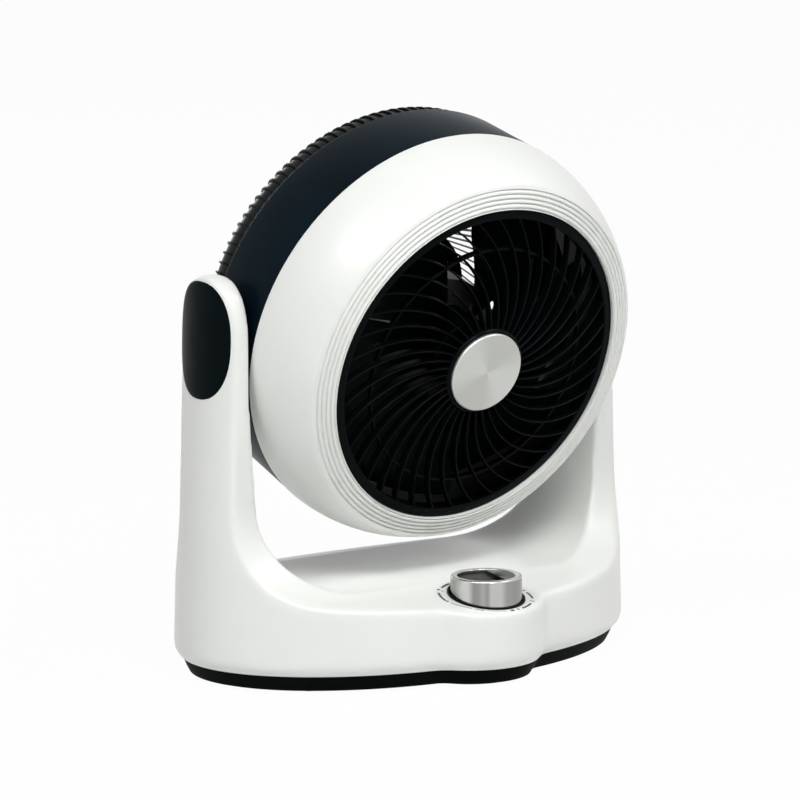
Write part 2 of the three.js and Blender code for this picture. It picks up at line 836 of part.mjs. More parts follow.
function speedKnob() {
  const floor = knobTop - knobDishDepth;
  const underside = floor - knobWall;
  const inside = knobRadius - knobWall;
  const bore = spindleRadius + gap;
  const rim = knobWall / 2;
  const bossEnd = knobBottom + knobFlareHeight;
  const profile = [
    [0, floor],
    [inside, floor],
    [inside + rim / 2, knobTop],
    [knobRadius - rim / 2, knobTop],
    [knobRadius, knobTop - rim / 2],
    [knobRadius, knobBottom + knobFlareHeight],
    [knobRadius + knobFlare, knobBottom],
    [inside, knobBottom],
    [inside, underside],
    [knobBossRadius, underside],
    [knobBossRadius, bossEnd],
    [bore, bossEnd],
    [bore, spindleTop + gap],
    [0, spindleTop + gap],
  ];
  return turned(profile, knobSteps);
}

// Dark disc in the knob's dish, with a raised step that points to the setting.
function knobInsert() {
  const radius = knobRadius - knobWall - gap;
  const floor = knobTop - knobDishDepth + gap;
  const top = floor + insertThickness;
  const disc = rod(radius, floor, top, knobSteps);
  const step = rod(radius, top - overrun / 2, top + pointerHeight, knobSteps);
  const side = new THREE.BoxGeometry(radius * 2, radius * 2, knobDishDepth * 2);
  side.translate(radius + pointerAway, 0, top + knobDishDepth / 2);
  return disc.add(step.intersect(solid(side)));
}

function switchBody() {
  const top = shelfTop - shelfWall - gap;
  const rest = block(switchSide, switchSide, switchHeight, 0, 0, top - switchHeight);
  return rest
    .add(rod(switchBushRadius, top - overrun, switchBushTop))
    .subtract(rod(spindleRadius + gap, spindleBottom - gap, switchBushTop + overrun));
}

function switchNut() {
  const bottom = shelfTop + gap;
  const bore = (switchBushRadius + gap) / Math.cos(Math.PI / nutSides);
  return tube(nutRadius, bore, bottom, bottom + nutHeight, nutSides);
}

// Head shells, drawn round the air axis with the pivot at zero

function headArc(inset, steps) {
  const across = crestRadius - ringSeatRadius;
  const along = ringSeatPlane - seamPlane;
  const radius = (along * along + across * across) / (2 * across);
  const last = Math.asin(along / radius);
  const points = [];
  for (let i = 0; i <= steps; i++) {
    const angle = (i / steps) * last;
    const reach = radius - inset;
    points.push([crestRadius - radius + reach * Math.cos(angle), seamPlane + reach * Math.sin(angle)]);
  }
  return points;
}

function frontShell() {
  const ridges = [];
  const ringFall = (openingPlane - ringSeatPlane) / ringWidth;
  for (let i = ringGrooves - 1; i >= 0; i--) {
    const groove = grooveInset + groovePitch * i;
    const ridge = groove + groovePitch * half;
    ridges.push([openingRadius + ridge, openingPlane - ringFall * ridge + ridgeRise]);
    ridges.push([openingRadius + groove, openingPlane - ringFall * groove]);
  }
  ridges.push([openingRadius, openingPlane + ridgeRise * half]);
  const back = recessFloor - headWall;
  const inner = headArc(headWall, curveSteps / 2).filter(([, plane]) => plane < back - overrun);
  return turned([
    ...headArc(0, curveSteps - 2),
    ...ridges,
    [openingRadius, recessFloor],
    [flangeRadius, recessFloor],
    [flangeRadius, back],
    [ringSeatRadius, back],
    ...inner.reverse(),
  ]);
}

function rearDrum() {
  const seam = seamPlane - gap;
  const spigot = drumBore + spigotWall;
  const ledge = drumRearPlane + headWall;
  const wall = turned([
    [drumRearRadius, drumRearPlane],
    [crestRadius - gap, seam],
    [spigot, seam],
    [spigot, seam + spigotLength],
    [drumBore, seam + spigotLength],
    [drumBore, ledge],
    [drumFlangeRadius, ledge],
    [drumFlangeRadius, drumRearPlane],
  ]);
  const inside = rod(drumBore, -crestRadius, crestRadius, turnSteps);
  const hubs = rodX(drumHubRadius, -drumHub, drumHub).subtract(inside);
  const pads = rodX(drumPadRadius, -drumPad, drumPad);
  const bore = rodX(trunnionRadius + gap, -drumHub - overrun, drumHub + overrun);
  const bosses = grilleScrewPlaces().map(([x, y]) =>
    rodAt(grilleBossRadius, ledge - overrun / 2, bossTop(), x, y, screwSteps),
  );
  const holes = grilleScrewPlaces().map(([x, y]) =>
    rodAt(screwRadius + gap, drumRearPlane - overrun, bossTop() - overrun / 2, x, y, screwSteps),
  );
  return joined([wall, hubs, ...bosses]).subtract(joined([pads, bore, ...holes]));
}

function bossTop() {
  return drumRearPlane + grilleScrewLength + overrun;
}

function grilleScrewPlaces() {
  return Array.from({ length: grilleScrews }, (_, i) => {
    const angle = ((i + half) / grilleScrews) * Math.PI * 2;
    return [Math.cos(angle) * grilleScrewRadius, Math.sin(angle) * grilleScrewRadius];
  });
}

// Front grille

function grillePlane(radius) {
  const share = radius / grilleRadius;
  return openingPlane - overrun + grilleCrown * (1 - share * share);
}

function frontGrille() {
  const floor = recessFloor + gap;
  const edge = grillePlane(grilleRadius);
  const rim = turned([
    [grilleRimInner, floor],
    [grilleRadius, floor],
    [grilleRadius, edge + rimProud],
    [grilleRimInner, grillePlane(grilleRimInner) + rimProud],
  ]);
  const front = badgeFront - badgeThickness - gap;
  const hub = turned(
    [
      [0, front - grilleHubWall],
      [grilleHubRadius, front - grilleHubWall],
      [grilleHubRadius, front - badgeChamfer],
      [badgeRadius + gap * 2, front + badgeChamfer],
      [badgeRadius + gap, front],
      [0, front],
    ],
    turnSteps,
  );
  const behind = grillePlane(stiffenerRadius) - vaneDepth;
  const inner = stiffenerRadius - stiffenerWidth / 2;
  const stiffener = tube(inner + stiffenerWidth, inner, behind - overrun / 2, behind + stiffenerDepth);
  const from = grilleHubRadius - overrun;
  const reach = grilleRimInner + overrun / 2 - from;
  const vanes = Array.from({ length: vaneCount }, (_, i) =>
    bentBar(3, 1, (share, across, deep) => {
      const radius = from + reach * share;
      const start = (i / vaneCount) * Math.PI * 2;
      const sweep = vaneSweepAngle * toRadians * share ** vaneCurveShare;
      const angle = start + sweep + (across * vaneWidth * (half + deep)) / radius;
      const plane = grillePlane(radius) + (deep - half) * vaneDepth;
      return [Math.cos(angle) * radius, Math.sin(angle) * radius, plane];
    }),
  );
  return joined([rim, hub, stiffener, ...vanes]);
}

function badgeDisc() {
  const back = badgeFront - badgeThickness;
  return turned([
    [0, back],
    [badgeRadius, back],
    [badgeRadius, badgeFront - badgeChamfer],
    [badgeRadius - badgeChamfer, badgeFront],
    [0, badgeFront],
  ]);
}

function airDuct() {
  const front = recessFloor - headWall - gap;
  const outer = ductRadius + ductWall;
  return turned([
    [ductRadius, front],
    [ductFlangeRadius, front],
    [ductFlangeRadius, front - headWall],
    [outer, front - headWall],
    [outer, ductRear + ductFlare],
    [outer + ductFlare, ductRear],
    [ductRadius + ductFlare, ductRear],
    [ductRadius, ductRear + ductFlare],
  ]);
}

// Rear grille: a rim, swept ribs that wrap round the shoulder, a ring and a closed cup for the motor

function rearGrille() {
  const rimFront = drumRearPlane - gap;
  const rimRear = rimFront - rearBandDepth;
  const rim = tube(rearRadius, rearRimInner, rimRear, rimFront);
  const holes = grilleScrewPlaces().map(([x, y]) =>
    rodAt(screwRadius + gap, rimRear - overrun, rimFront + overrun, x, y, screwSteps),
  );
  return joined([rim, motorCup(), ...rearRibBars(rimRear + rimProud)])
    .subtract(joined(holes))
    .subtract(mountHoles(cupFront - cupLedge, cupFront + overrun));
}

// Ribs from the cup out to the shoulder and round it to the rim, thinner on their inner side.
function rearRibBars(rimPlane) {
  const depth = rearRibDepth;
  const cupPlane = rearCupPlane + rimProud;
  const sweep = rearRibAngle * toRadians;
  const [cup, corner] = [rearCupRadius - rimProud, rearRadius - rimProud];
  // Each stop holds the outer edge's radius and plane, the inner edge's, the angle and the width.
  const stops = [
    [cup, cupPlane, cup, cupPlane + depth, 0, rearRibTaperShare],
    [rearShoulderRadius, rearShoulderPlane, rearShoulderRadius - depth, rearShoulderPlane + depth, sweep, 1],
    [corner, rearCornerPlane, rearRadius - depth, rearCornerPlane + depth, sweep, 1],
    [corner, rimPlane, rearRadius - depth, rimPlane, sweep, 1],
  ];
  const spans = stops.length - 1;
  return Array.from({ length: rearRibs }, (_, i) =>
    bentBar(spans, 1, (share, across, deep) => {
      const [outerR, outerL, innerR, innerL, turn, widthShare] = stops[Math.round(share * spans)];
      const blend = deep + half;
      const radius = outerR + (innerR - outerR) * blend;
      const width = rearRibWidth * widthShare * (1 - blend);
      const angle = (i / rearRibs) * Math.PI * 2 - turn + (across * width) / radius;
      return [Math.cos(angle) * radius, Math.sin(angle) * radius, outerL + (innerL - outerL) * blend];
    }),
  );
}

function motorCup() {
  const inner = rearCupRadius - cupWall;
  const ledge = cupFront - cupWall;
  const floor = rearCupPlane + cupWall;
  return turned(
    [
      [0, rearCupPlane],
      [rearCupRadius, rearCupPlane],
      [rearCupRadius, cupFront],
      [motorRadius + overrun / 2, cupFront],
      [motorRadius + overrun / 2, ledge],
      [inner, ledge - cupLedge],
      [inner, floor],
      [0, floor],
    ],
    knobSteps,
  );
}

function mountScrewPlaces(ring, count) {
  return Array.from({ length: count }, (_, i) => {
    const angle = (i / count) * Math.PI * 2 + Math.PI / 2;
    return [Math.cos(angle) * ring, Math.sin(angle) * ring];
  });
}

function mountHoles(from, to) {
  return joined(
    mountScrewPlaces(mountScrewRing, mountScrews).map(([x, y]) =>
      rodAt(screwRadius + gap, from, to, x, y, screwSteps),
    ),
  );
}

function motorHoles(from, to) {
  return joined(
    mountScrewPlaces(motorScrewRing, motorScrews).map(([x, y]) =>
      rodAt(screwRadius + gap, from, to, x, y, screwSteps),
    ),
  );
}

// Motor, from the rear to the front

function motorMount() {
  const rear = cupFront + gap;
  const front = motorRear - gap;
  return tube(mountRadius, bearingRadius, rear, front, midSteps)
    .subtract(mountHoles(rear - overrun, front + overrun))
    .subtract(motorHoles(rear - overrun, front + overrun));
}

// A motor bell drawn open towards +Z, with a bearing seat in its floor.
function motorBell(length) {
  const inner = motorRadius - bellWall;
  const bore = shaftRadius + gap * 2;
  const seat = bearingRadius + gap;
  const seatOuter = seat + bearingSeatWall;
  return turned(
    [
      [bore, 0],
      [motorRadius, 0],
      [motorRadius, length],
      [inner, length],
      [inner, bellWall],
      [seatOuter, bellWall],
      [seatOuter, bellWall + bearingSeatLength],
      [seat, bellWall + bearingSeatLength],
      [seat, bellWall],
      [bore, bellWall],
    ],
    midSteps,
  );
}

function coilBarShapes(grow, from, to) {
  const shapes = [];
  for (let i = 0; i < coilBars; i++) {
    const angle = (i / coilBars) * Math.PI * 2;
    const geometry = new THREE.BoxGeometry(coilBarDepth + grow * 2, coilBarWidth + grow * 2, to - from);
    geometry.translate(coilBarRadius, 0, (from + to) / 2).rotateZ(angle);
    shapes.push(solid(geometry));
  }
  return joined(shapes);
}

function statorCore() {
  return tube(motorRadius, coreBore, coreRear, coreFront, midSteps).subtract(
    coilBarShapes(gap, coreRear - overrun, coreFront + overrun),
  );
}

function statorWindings() {
  const rear = coreRear - gap;
  const front = coreFront + gap;
  return joined([
    tube(coilOuter, coilInner, rear - coilLength, rear, midSteps),
    tube(coilOuter, coilInner, front, front + coilLength, midSteps),
    coilBarShapes(0, rear - overrun, front + overrun),
  ]);
}

function rotorCore() {
  const outer = coreBore - airGap;
  const bore = shaftRadius + gap;
  return turned(
    [
      [bore, coreRear],
      [cageInner, coreRear],
      [cageInner, coreRear - cageLength],
      [outer, coreRear - cageLength],
      [outer, coreFront + cageLength],
      [cageInner, coreFront + cageLength],
      [cageInner, coreFront],
      [bore, coreFront],
    ],
    midSteps,
  );
}

function bearing() {
  return tube(bearingRadius, shaftRadius + gap, 0, bearingLength, smallSteps);
}

// Blade and its nut

function fanBlade() {
  const wall = bladeHubWall;
  const bore = shaftRadius + gap;
  const front = bladeHubFront;
  const hub = turned(
    [
      [bore, front],
      [bladeHubRadius - wall, front],
      [bladeHubRadius, front - wall],
      [bladeHubRadius, bladeHubRear],
      [bladeHubRadius - wall, bladeHubRear],
      [bladeHubRadius - wall, front - wall],
      [bladeBoss, front - wall],
      [bladeBoss, bladeHubRear + wall],
      [bore, bladeHubRear + wall],
    ],
    midSteps,
  );
  const root = bladeHubRadius - wall / 2;
  const blades = Array.from({ length: bladeCount }, (_, i) =>
    bentBar(3, 3, (share, across, deep) => {
      const radius = root + (bladeRadius - root) * share;
      const turn = bladeChordAngle * (bladeRootShare + (1 - bladeRootShare) * share);
      const angle = (i / bladeCount) * Math.PI * 2 + (across * turn + bladeRakeAngle * share) * toRadians;
      const plane = bladeMid + across * bladeRise + deep * bladeThickness;
      return [Math.cos(angle) * radius, Math.sin(angle) * radius, plane];
    }),
  );
  return joined([hub, ...blades]);
}

function bladeNut() {
  const rear = bladeHubFront + gap;
  const bore = shaftRadius + gap;
  const front = rear + spinnerHeight;
  return turned(
    [
      [bore, rear],
      [spinnerRadius, rear],
      [spinnerRadius, rear + spinnerHeight / 2],
      [spinnerRadius / 2, front],
      [0, front],
      [0, shaftFront + gap],
      [bore, shaftFront + gap],
    ],
    smallSteps,
  );
}

function terminalBlock() {
  const body = block(terminalLength, terminalWidth, terminalHeight, 0, 0, 0);
  const holes = Array.from({ length: terminalPoles }, (_, i) => {
    const x = terminalLength * ((i + half) / terminalPoles - half);
    return rodAt(screwRadius, terminalHeight / 2, terminalHeight + overrun, x, 0, screwSteps);
  });
  return body.subtract(joined(holes));
}

// Scene: the stand first

place("stand_shell", standShell(), "whiteGloss");
place("base_plate", basePlate(), "blackGloss");
footPlaces().forEach(([x, y], i) => {
  place(`foot_${i + 1}`, footShape(), "rubber").position.set(x, y, 0);
});
const plateScrew = screw(screwHeadRadius, screwHeadHeight, screwRadius, baseScrewLength);
bossPlaces().forEach(([x, y], i) => {
  place(`base_screw_${i + 1}`, plateScrew, "zinc").position.set(x, y, screwSeat - gap);
});
place("cord_inlet", cordInlet(), "blackSatin").position.set(0, standMidY, inletHeight);

const plateFloor = skirtBottom + plateWall + gap;
place("capacitor", block(capacitorLength, capacitorWidth, capacitorHeight, 0, 0, 0), "beige").position.set(
  capacitorX,
  standMidY + capacitorY,
  plateFloor,
);
place("terminal_block", terminalBlock(), "beige").position.set(terminalX, standMidY + terminalY, plateFloor);

for (const [side, word] of [[-1, "left"], [1, "right"]]) {
  place(`arm_cap_${word}`, armCap(side), "blackGloss");
  const pivotPieces = [
    ["pivot_bush", pivotBush(), "blackSatin", group],
    ["pivot_washer", pivotWasher(), "steel", group],
    ["pivot_screw", pivotScrew(), "zinc", group],
    ["trunnion", trunnion(), "steel", headGroup],
  ];
  for (const [name, body, finish, parent] of pivotPieces) {
    const mesh = place(`${name}_${word}`, body, finish, parent);
    mesh.rotation.y = (side * Math.PI) / 2;
    if (parent === group) mesh.position.set(0, standMidY, pivotHeight);
  }
}

place("switch_body", switchBody(), "beige").position.set(0, knobY, 0);
place("switch_nut", switchNut(), "zinc").position.set(0, knobY, 0);
place("knob_bezel", bezel(), "blackSatin").position.set(0, knobY, 0);

const knobGroup = new THREE.Group();
knobGroup.position.set(0, knobY, 0);
knobGroup.rotation.z = pointerAngle * toRadians;
group.add(knobGroup);
place("switch_spindle", rod(spindleRadius, spindleBottom, spindleTop), "steel", knobGroup);
place("speed_knob", speedKnob(), "silver", knobGroup);
place("knob_insert", knobInsert(), "blackSatin", knobGroup);

// Scene: the head

place("rear_drum", rearDrum(), "blackSatin", headGroup);
place("front_shell", frontShell(), "whiteGloss", headGroup);
place("front_grille", frontGrille(), "blackGloss", headGroup);
place("badge", badgeDisc(), "silver", headGroup);
place("air_duct", airDuct(), "blackSatin", headGroup);
place("rear_grille", rearGrille(), "blackSatin", headGroup);

const shortScrew = screw(screwHeadRadius, screwHeadHeight, screwRadius, grilleScrewLength);
const grilleSeat = drumRearPlane - gap * 2 - rearBandDepth;
grilleScrewPlaces().forEach(([x, y], i) => {
  place(`grille_screw_${i + 1}`, shortScrew, "zinc", headGroup).position.set(x, y, grilleSeat);
});

place("motor_mount", motorMount(), "zinc", headGroup);
const mountScrew = screw(screwHeadRadius, screwHeadHeight, screwRadius, motorScrewLength);
mountScrewPlaces(mountScrewRing, mountScrews).forEach(([x, y], i) => {
  const mesh = place(`mount_screw_${i + 1}`, mountScrew, "zinc", headGroup);
  mesh.rotation.x = Math.PI;
  mesh.position.set(x, y, motorRear);
});
mountScrewPlaces(motorScrewRing, motorScrews).forEach(([x, y], i) => {
  place(`motor_screw_${i + 1}`, mountScrew, "zinc", headGroup).position.set(x, y, cupFront);
});

const rearBell = motorBell(coreRear - gap - motorRear);
const rearBellHoles = motorHoles(-overrun, bellWall + overrun);
place("motor_rear_bell", rearBell.subtract(rearBellHoles), "zinc", headGroup).position.z = motorRear;
const frontBell = place("motor_front_bell", motorBell(motorFront - coreFront - gap), "zinc", headGroup);
frontBell.rotation.x = Math.PI;
frontBell.position.z = motorFront;
place("bearing_rear", bearing(), "steel", headGroup).position.z = motorRear + bellWall + gap;
const frontBearing = place("bearing_front", bearing(), "steel", headGroup);
frontBearing.position.z = motorFront - bellWall - gap - bearingLength;
place("stator_core", statorCore(), "zinc", headGroup);
place("stator_windings", statorWindings(), "copper", headGroup);

// Scene: what the motor spins

const spinGroup = new THREE.Group();
headGroup.add(spinGroup);
place("motor_shaft", rod(shaftRadius, shaftRear, shaftFront), "steel", spinGroup);
place("rotor_core", rotorCore(), "zinc", spinGroup);
place("fan_blade", fanBlade(), "blackGloss", spinGroup);
place("blade_nut", bladeNut(), "blackSatin", spinGroup);

export default group;
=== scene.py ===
import math

import bmesh
import bpy
from mathutils import Matrix, Vector


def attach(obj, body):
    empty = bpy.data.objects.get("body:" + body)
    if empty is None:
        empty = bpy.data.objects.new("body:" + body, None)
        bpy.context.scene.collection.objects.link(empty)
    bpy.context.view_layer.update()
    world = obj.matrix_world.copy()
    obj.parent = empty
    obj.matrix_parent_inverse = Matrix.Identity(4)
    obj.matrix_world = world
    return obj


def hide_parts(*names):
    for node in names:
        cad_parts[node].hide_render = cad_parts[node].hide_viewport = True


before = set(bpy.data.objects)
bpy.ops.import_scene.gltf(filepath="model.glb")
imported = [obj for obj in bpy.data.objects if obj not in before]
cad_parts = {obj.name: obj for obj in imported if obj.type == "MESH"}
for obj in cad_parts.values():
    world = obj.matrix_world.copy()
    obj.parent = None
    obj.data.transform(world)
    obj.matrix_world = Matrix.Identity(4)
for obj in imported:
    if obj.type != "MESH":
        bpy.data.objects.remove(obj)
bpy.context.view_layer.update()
print("frame loaded,", len(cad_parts), "nodes")

mm = 0.001

# where the fan's own parts sit; the head is built along its air axis and turned to the rest tilt
layout = {
    "pivotY": 9.0,
    "pivotHeight": 234.5,
    "restTilt": 16.4,
    "knobAhead": 96.5,
}
headPlace = (
    Matrix.Translation((0, layout["pivotY"] * mm, layout["pivotHeight"] * mm))
    @ Matrix.Rotation(math.radians(90 + layout["restTilt"]), 4, "X")
)
knobPlace = Matrix.Translation((0, (layout["pivotY"] - layout["knobAhead"]) * mm, 0))


# small tools for meshes


def tidy(bm, distance=0.00001):
    bmesh.ops.remove_doubles(bm, verts=bm.verts[:], dist=distance)
    bmesh.ops.dissolve_degenerate(bm, dist=distance, edges=bm.edges[:])
    bmesh.ops.recalc_face_normals(bm, faces=bm.faces[:])
    return bm


# a turned body round Z: the profile's corners are [radius, height, rounding] in millimetres
def turned(profile, steps=160, segments=4):
    bm = bmesh.new()
    verts = [bm.verts.new((p[0] * mm, 0, p[1] * mm)) for p in profile]
    for a, b in zip(verts, verts[1:]):
        bm.edges.new((a, b))
    closed = profile[0][0] > 0 and profile[-1][0] > 0
    if closed:
        bm.edges.new((verts[-1], verts[0]))
    for size in sorted({p[2] for p in profile if len(p) > 2 and p[2] > 0}):
        picked = [v for v, p in zip(verts, profile) if len(p) > 2 and p[2] == size]
        bmesh.ops.bevel(bm, geom=picked, offset=size * mm, offset_type="OFFSET", segments=segments,
                        profile=0.5, affect="VERTICES", material=-1, clamp_overlap=True)
    bmesh.ops.spin(bm, geom=bm.verts[:] + bm.edges[:], cent=(0, 0, 0), axis=(0, 0, 1),
                   dvec=(0, 0, 0), angle=math.tau, steps=steps, use_merge=True, use_duplicate=False)
    return tidy(bm, 0.000002)


def move(bm, place):
    bmesh.ops.transform(bm, matrix=place, verts=bm.verts[:])
    if place.determinant() < 0:
        bmesh.ops.recalc_face_normals(bm, faces=bm.faces[:])
    return bm


def joined(bms):
    whole = bmesh.new()
    for bm in bms:
        data = bpy.data.meshes.new("part")
        bm.to_mesh(data)
        whole.from_mesh(data)
        bm.free()
        bpy.data.meshes.remove(data)
    return whole


# an outline pushed from one place to another along an axis
def pushed(outline, placeAt, start, end):
    bm = bmesh.new()
    face = bm.faces.new([bm.verts.new(placeAt(u * mm, v * mm, start * mm)) for u, v in outline])
    grown = bmesh.ops.extrude_face_region(bm, geom=[face])
    far = [g for g in grown["geom"] if isinstance(g, bmesh.types.BMVert)]
    shift = Vector(placeAt(0, 0, end * mm)) - Vector(placeAt(0, 0, start * mm))
    bmesh.ops.translate(bm, verts=far, vec=shift)
    bmesh.ops.recalc_face_normals(bm, faces=bm.faces[:])
    return bm


def alongX(u, v, push):
    return (push, u, v)


def alongY(u, v, push):
    return (u, push, v)


def alongZ(u, v, push):
    return (u, v, push)


def asObject(bm, name):
    data = bpy.data.meshes.new(name)
    bm.to_mesh(data)
    bm.free()
    obj = bpy.data.objects.new(name, data)
    bpy.context.scene.collection.objects.link(obj)
    return obj


# joins or cuts bm with other meshes and gives the result as a new bmesh
def carved(bm, *steps):
    base = asObject(bm, "carve")
    for operation, other in steps:
        tool = asObject(other, "tool")
        cut = base.modifiers.new("cut", "BOOLEAN")
        cut.operation = operation
        cut.solver = "EXACT"
        cut.object = tool
        bpy.context.view_layer.update()
        result = bpy.data.meshes.new_from_object(base.evaluated_get(bpy.context.evaluated_depsgraph_get()))
        base.modifiers.clear()
        old = base.data
        base.data = result
        bpy.data.meshes.remove(old)
        toolData = tool.data
        bpy.data.objects.remove(tool)
        bpy.data.meshes.remove(toolData)
    out = bmesh.new()
    out.from_mesh(base.data)
    data = base.data
    bpy.data.objects.remove(base)
    bpy.data.meshes.remove(data)
    return out


def addPiece(name, bm, body, material, stands=(), sharp=35):
    obj = asObject(bm, name)
    obj.data.shade_smooth()
    obj.data.set_sharp_from_angle(angle=math.radians(sharp))
    obj.data.materials.append(material)
    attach(obj, body)
    if stands:
        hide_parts(*stands)
    return obj


# small tools for materials


class Value:
    # a socket that can be used in sums, so that a line of maths adds its nodes
    def __init__(self, shade, socket):
        self.shade = shade
        self.socket = socket

    def maths(self, operation, *others, clamp=False):
        node = self.shade.node("ShaderNodeMath", {"operation": operation, "use_clamp": clamp})
        for i, item in enumerate((self, *others)):
            self.shade.feed(node.inputs[i], item)
        return Value(self.shade, node.outputs[0])

    def reversed(self, operation, other):
        node = self.shade.node("ShaderNodeMath", {"operation": operation})
        self.shade.feed(node.inputs[0], other)
        self.shade.feed(node.inputs[1], self)
        return Value(self.shade, node.outputs[0])

    def __add__(self, other):
        return self.maths("ADD", other)

    __radd__ = __add__

    def __mul__(self, other):
        return self.maths("MULTIPLY", other)

    __rmul__ = __mul__

    def __sub__(self, other):
        return self.maths("SUBTRACT", other)

    def __rsub__(self, other):
        return self.reversed("SUBTRACT", other)

    def __truediv__(self, other):
        return self.maths("DIVIDE", other)

    def __rtruediv__(self, other):
        return self.reversed("DIVIDE", other)

    def __pow__(self, other):
        return self.maths("POWER", other)

    def __gt__(self, other):
        return self.maths("GREATER_THAN", other)

    def __lt__(self, other):
        return self.maths("LESS_THAN", other)

    def __abs__(self):
        return self.maths("ABSOLUTE")

    def clamped(self):
        return self.maths("ADD", 0.0, clamp=True)

    def smooth(self, low, high):
        node = self.shade.node("ShaderNodeMapRange", {"interpolation_type": "SMOOTHSTEP"},
                               {"Value": self, "From Min": low, "From Max": high, "To Min": 0.0, "To Max": 1.0})
        return Value(self.shade, node.outputs["Result"])


class Shade:
    # one material with its node tree
    def __init__(self, name, **fixed):
        self.material = bpy.data.materials.new(name)
        self.material.use_nodes = True
        self.tree = self.material.node_tree
        self.shader = next(n for n in self.tree.nodes if n.type == "BSDF_PRINCIPLED")
        for socket, value in fixed.items():
            self.shader.inputs[socket.replace("_", " ")].default_value = value
        self.objectPoint = self.node("ShaderNodeTexCoord").outputs["Object"]

    def feed(self, socket, item):
        if isinstance(item, Value):
            item = item.socket
        if isinstance(item, bpy.types.NodeSocket):
            self.tree.links.new(item, socket)
        else:
            socket.default_value = item

    def node(self, kind, settings=None, inputs=None):
        made = self.tree.nodes.new(kind)
        for key, value in (settings or {}).items():
            if key == "stops":
                ramp = made.color_ramp
                while len(ramp.elements) < len(value):
                    ramp.elements.new(0.5)
                for element, (place, shade) in zip(ramp.elements, value):
                    element.position = place
                    element.color = (*shade, 1)
            else:
                setattr(made, key, value)
        for key, value in (inputs or {}).items():
            self.feed(made.inputs[key], value)
        return made

    # the surface point in metres, after a move into a piece's own place
    def point(self, place=None, scale=(1, 1, 1)):
        if place is None:
            base = self.objectPoint
        else:
            away = place.inverted()
            turn = away.to_euler()
            mapping = self.node("ShaderNodeMapping", {"vector_type": "POINT"},
                                {"Vector": self.objectPoint, "Location": away.to_translation(),
                                 "Rotation": turn})
            base = mapping.outputs["Vector"]
        if tuple(scale) == (1, 1, 1):
            return base
        stretched = self.node("ShaderNodeVectorMath", {"operation": "MULTIPLY"}, {0: base, 1: scale})
        return stretched.outputs["Vector"]

    def axes(self, vector):
        split = self.node("ShaderNodeSeparateXYZ", None, {"Vector": vector})
        return [Value(self, split.outputs[i]) for i in range(3)]

    def noise(self, vector, scale, detail=3.0, roughness=0.5, distortion=0.0):
        made = self.node("ShaderNodeTexNoise", None,
                         {"Vector": vector, "Scale": scale, "Detail": detail,
                          "Roughness": roughness, "Distortion": distortion})
        return Value(self, made.outputs["Fac"])

    def mix(self, factor, first, second):
        made = self.node("ShaderNodeMix", {"data_type": "RGBA", "clamp_factor": True})
        self.feed(made.inputs["Factor"], factor)
        for socket, item in ((made.inputs[6], first), (made.inputs[7], second)):
            self.feed(socket, (*item, 1) if isinstance(item, tuple) and len(item) == 3 else item)
        return made.outputs[2]

    def bump(self, height, distance, strength=1.0):
        made = self.node("ShaderNodeBump", None,
                         {"Height": height, "Distance": distance, "Strength": strength})
        self.feed(self.shader.inputs["Normal"], made.outputs["Normal"])

    def paint(self, socket, item):
        self.feed(self.shader.inputs[socket], item)
        return self


# more mesh tools


# closed rings of points bridged one after the other; the first and the last are filled
def layered(rings, closedEnds=True):
    bm = bmesh.new()
    made = []
    for ring in rings:
        verts = [bm.verts.new(point) for point in ring]
        made.append([bm.edges.new((a, b)) for a, b in zip(verts, verts[1:] + verts[:1])])
    for a, b in zip(made, made[1:]):
        bmesh.ops.bridge_loops(bm, edges=a + b)
    if closedEnds:
        for ring in (made[0], made[-1]):
            bmesh.ops.holes_fill(bm, edges=ring, sides=0)
    bmesh.ops.recalc_face_normals(bm, faces=bm.faces[:])
    return bm


def level(outline, height):
    return [(x * mm, y * mm, height * mm) for x, y in outline]


def rod(radius, start, end, place=Matrix.Identity(4), sides=48):
    bm = bmesh.new()
    bmesh.ops.create_cone(bm, cap_ends=True, segments=sides, radius1=radius * mm, radius2=radius * mm,
                          depth=(end - start) * mm)
    return move(bm, place @ Matrix.Translation((0, 0, (start + end) / 2 * mm)))


def bar(cuts, bend, rounding=0.2, flat=False):
    # a unit bar along X, rounded on its +Z side, whose points a formula then places
    bm = bmesh.new()
    bmesh.ops.create_cube(bm, size=1)
    if not flat:
        front = [e for e in bm.edges
                 if all(v.co.z > 0 for v in e.verts) and abs(e.verts[0].co.x - e.verts[1].co.x) > 0.5]
        bmesh.ops.bevel(bm, geom=front, offset=rounding, offset_type="OFFSET", segments=3, profile=0.5,
                        affect="EDGES", material=-1)
    along = [e for e in bm.edges if abs(e.verts[0].co.x - e.verts[1].co.x) > 0.5]
    bmesh.ops.subdivide_edges(bm, edges=along, cuts=cuts, use_grid_fill=False)
    for v in bm.verts:
        v.co = Vector(bend(v.co.x + 0.5, v.co.y, v.co.z)) * mm
    bmesh.ops.recalc_face_normals(bm, faces=bm.faces[:])
    return bm


def around(bm, count, startAngle=0.0):
    data = bpy.data.meshes.new("one")
    bm.to_mesh(data)
    bm.free()
    whole = bmesh.new()
    for i in range(count):
        before = len(whole.verts)
        whole.from_mesh(data)
        whole.verts.ensure_lookup_table()
        turn = Matrix.Rotation(startAngle + math.tau * i / count, 4, "Z")
        bmesh.ops.transform(whole, matrix=turn, verts=whole.verts[before:])
    bpy.data.meshes.remove(data)
    return whole


def pointsRound(radius, count, start):
    angles = [start + math.tau * i / count for i in range(count)]
    return [(math.cos(a) * radius, math.sin(a) * radius) for a in angles]


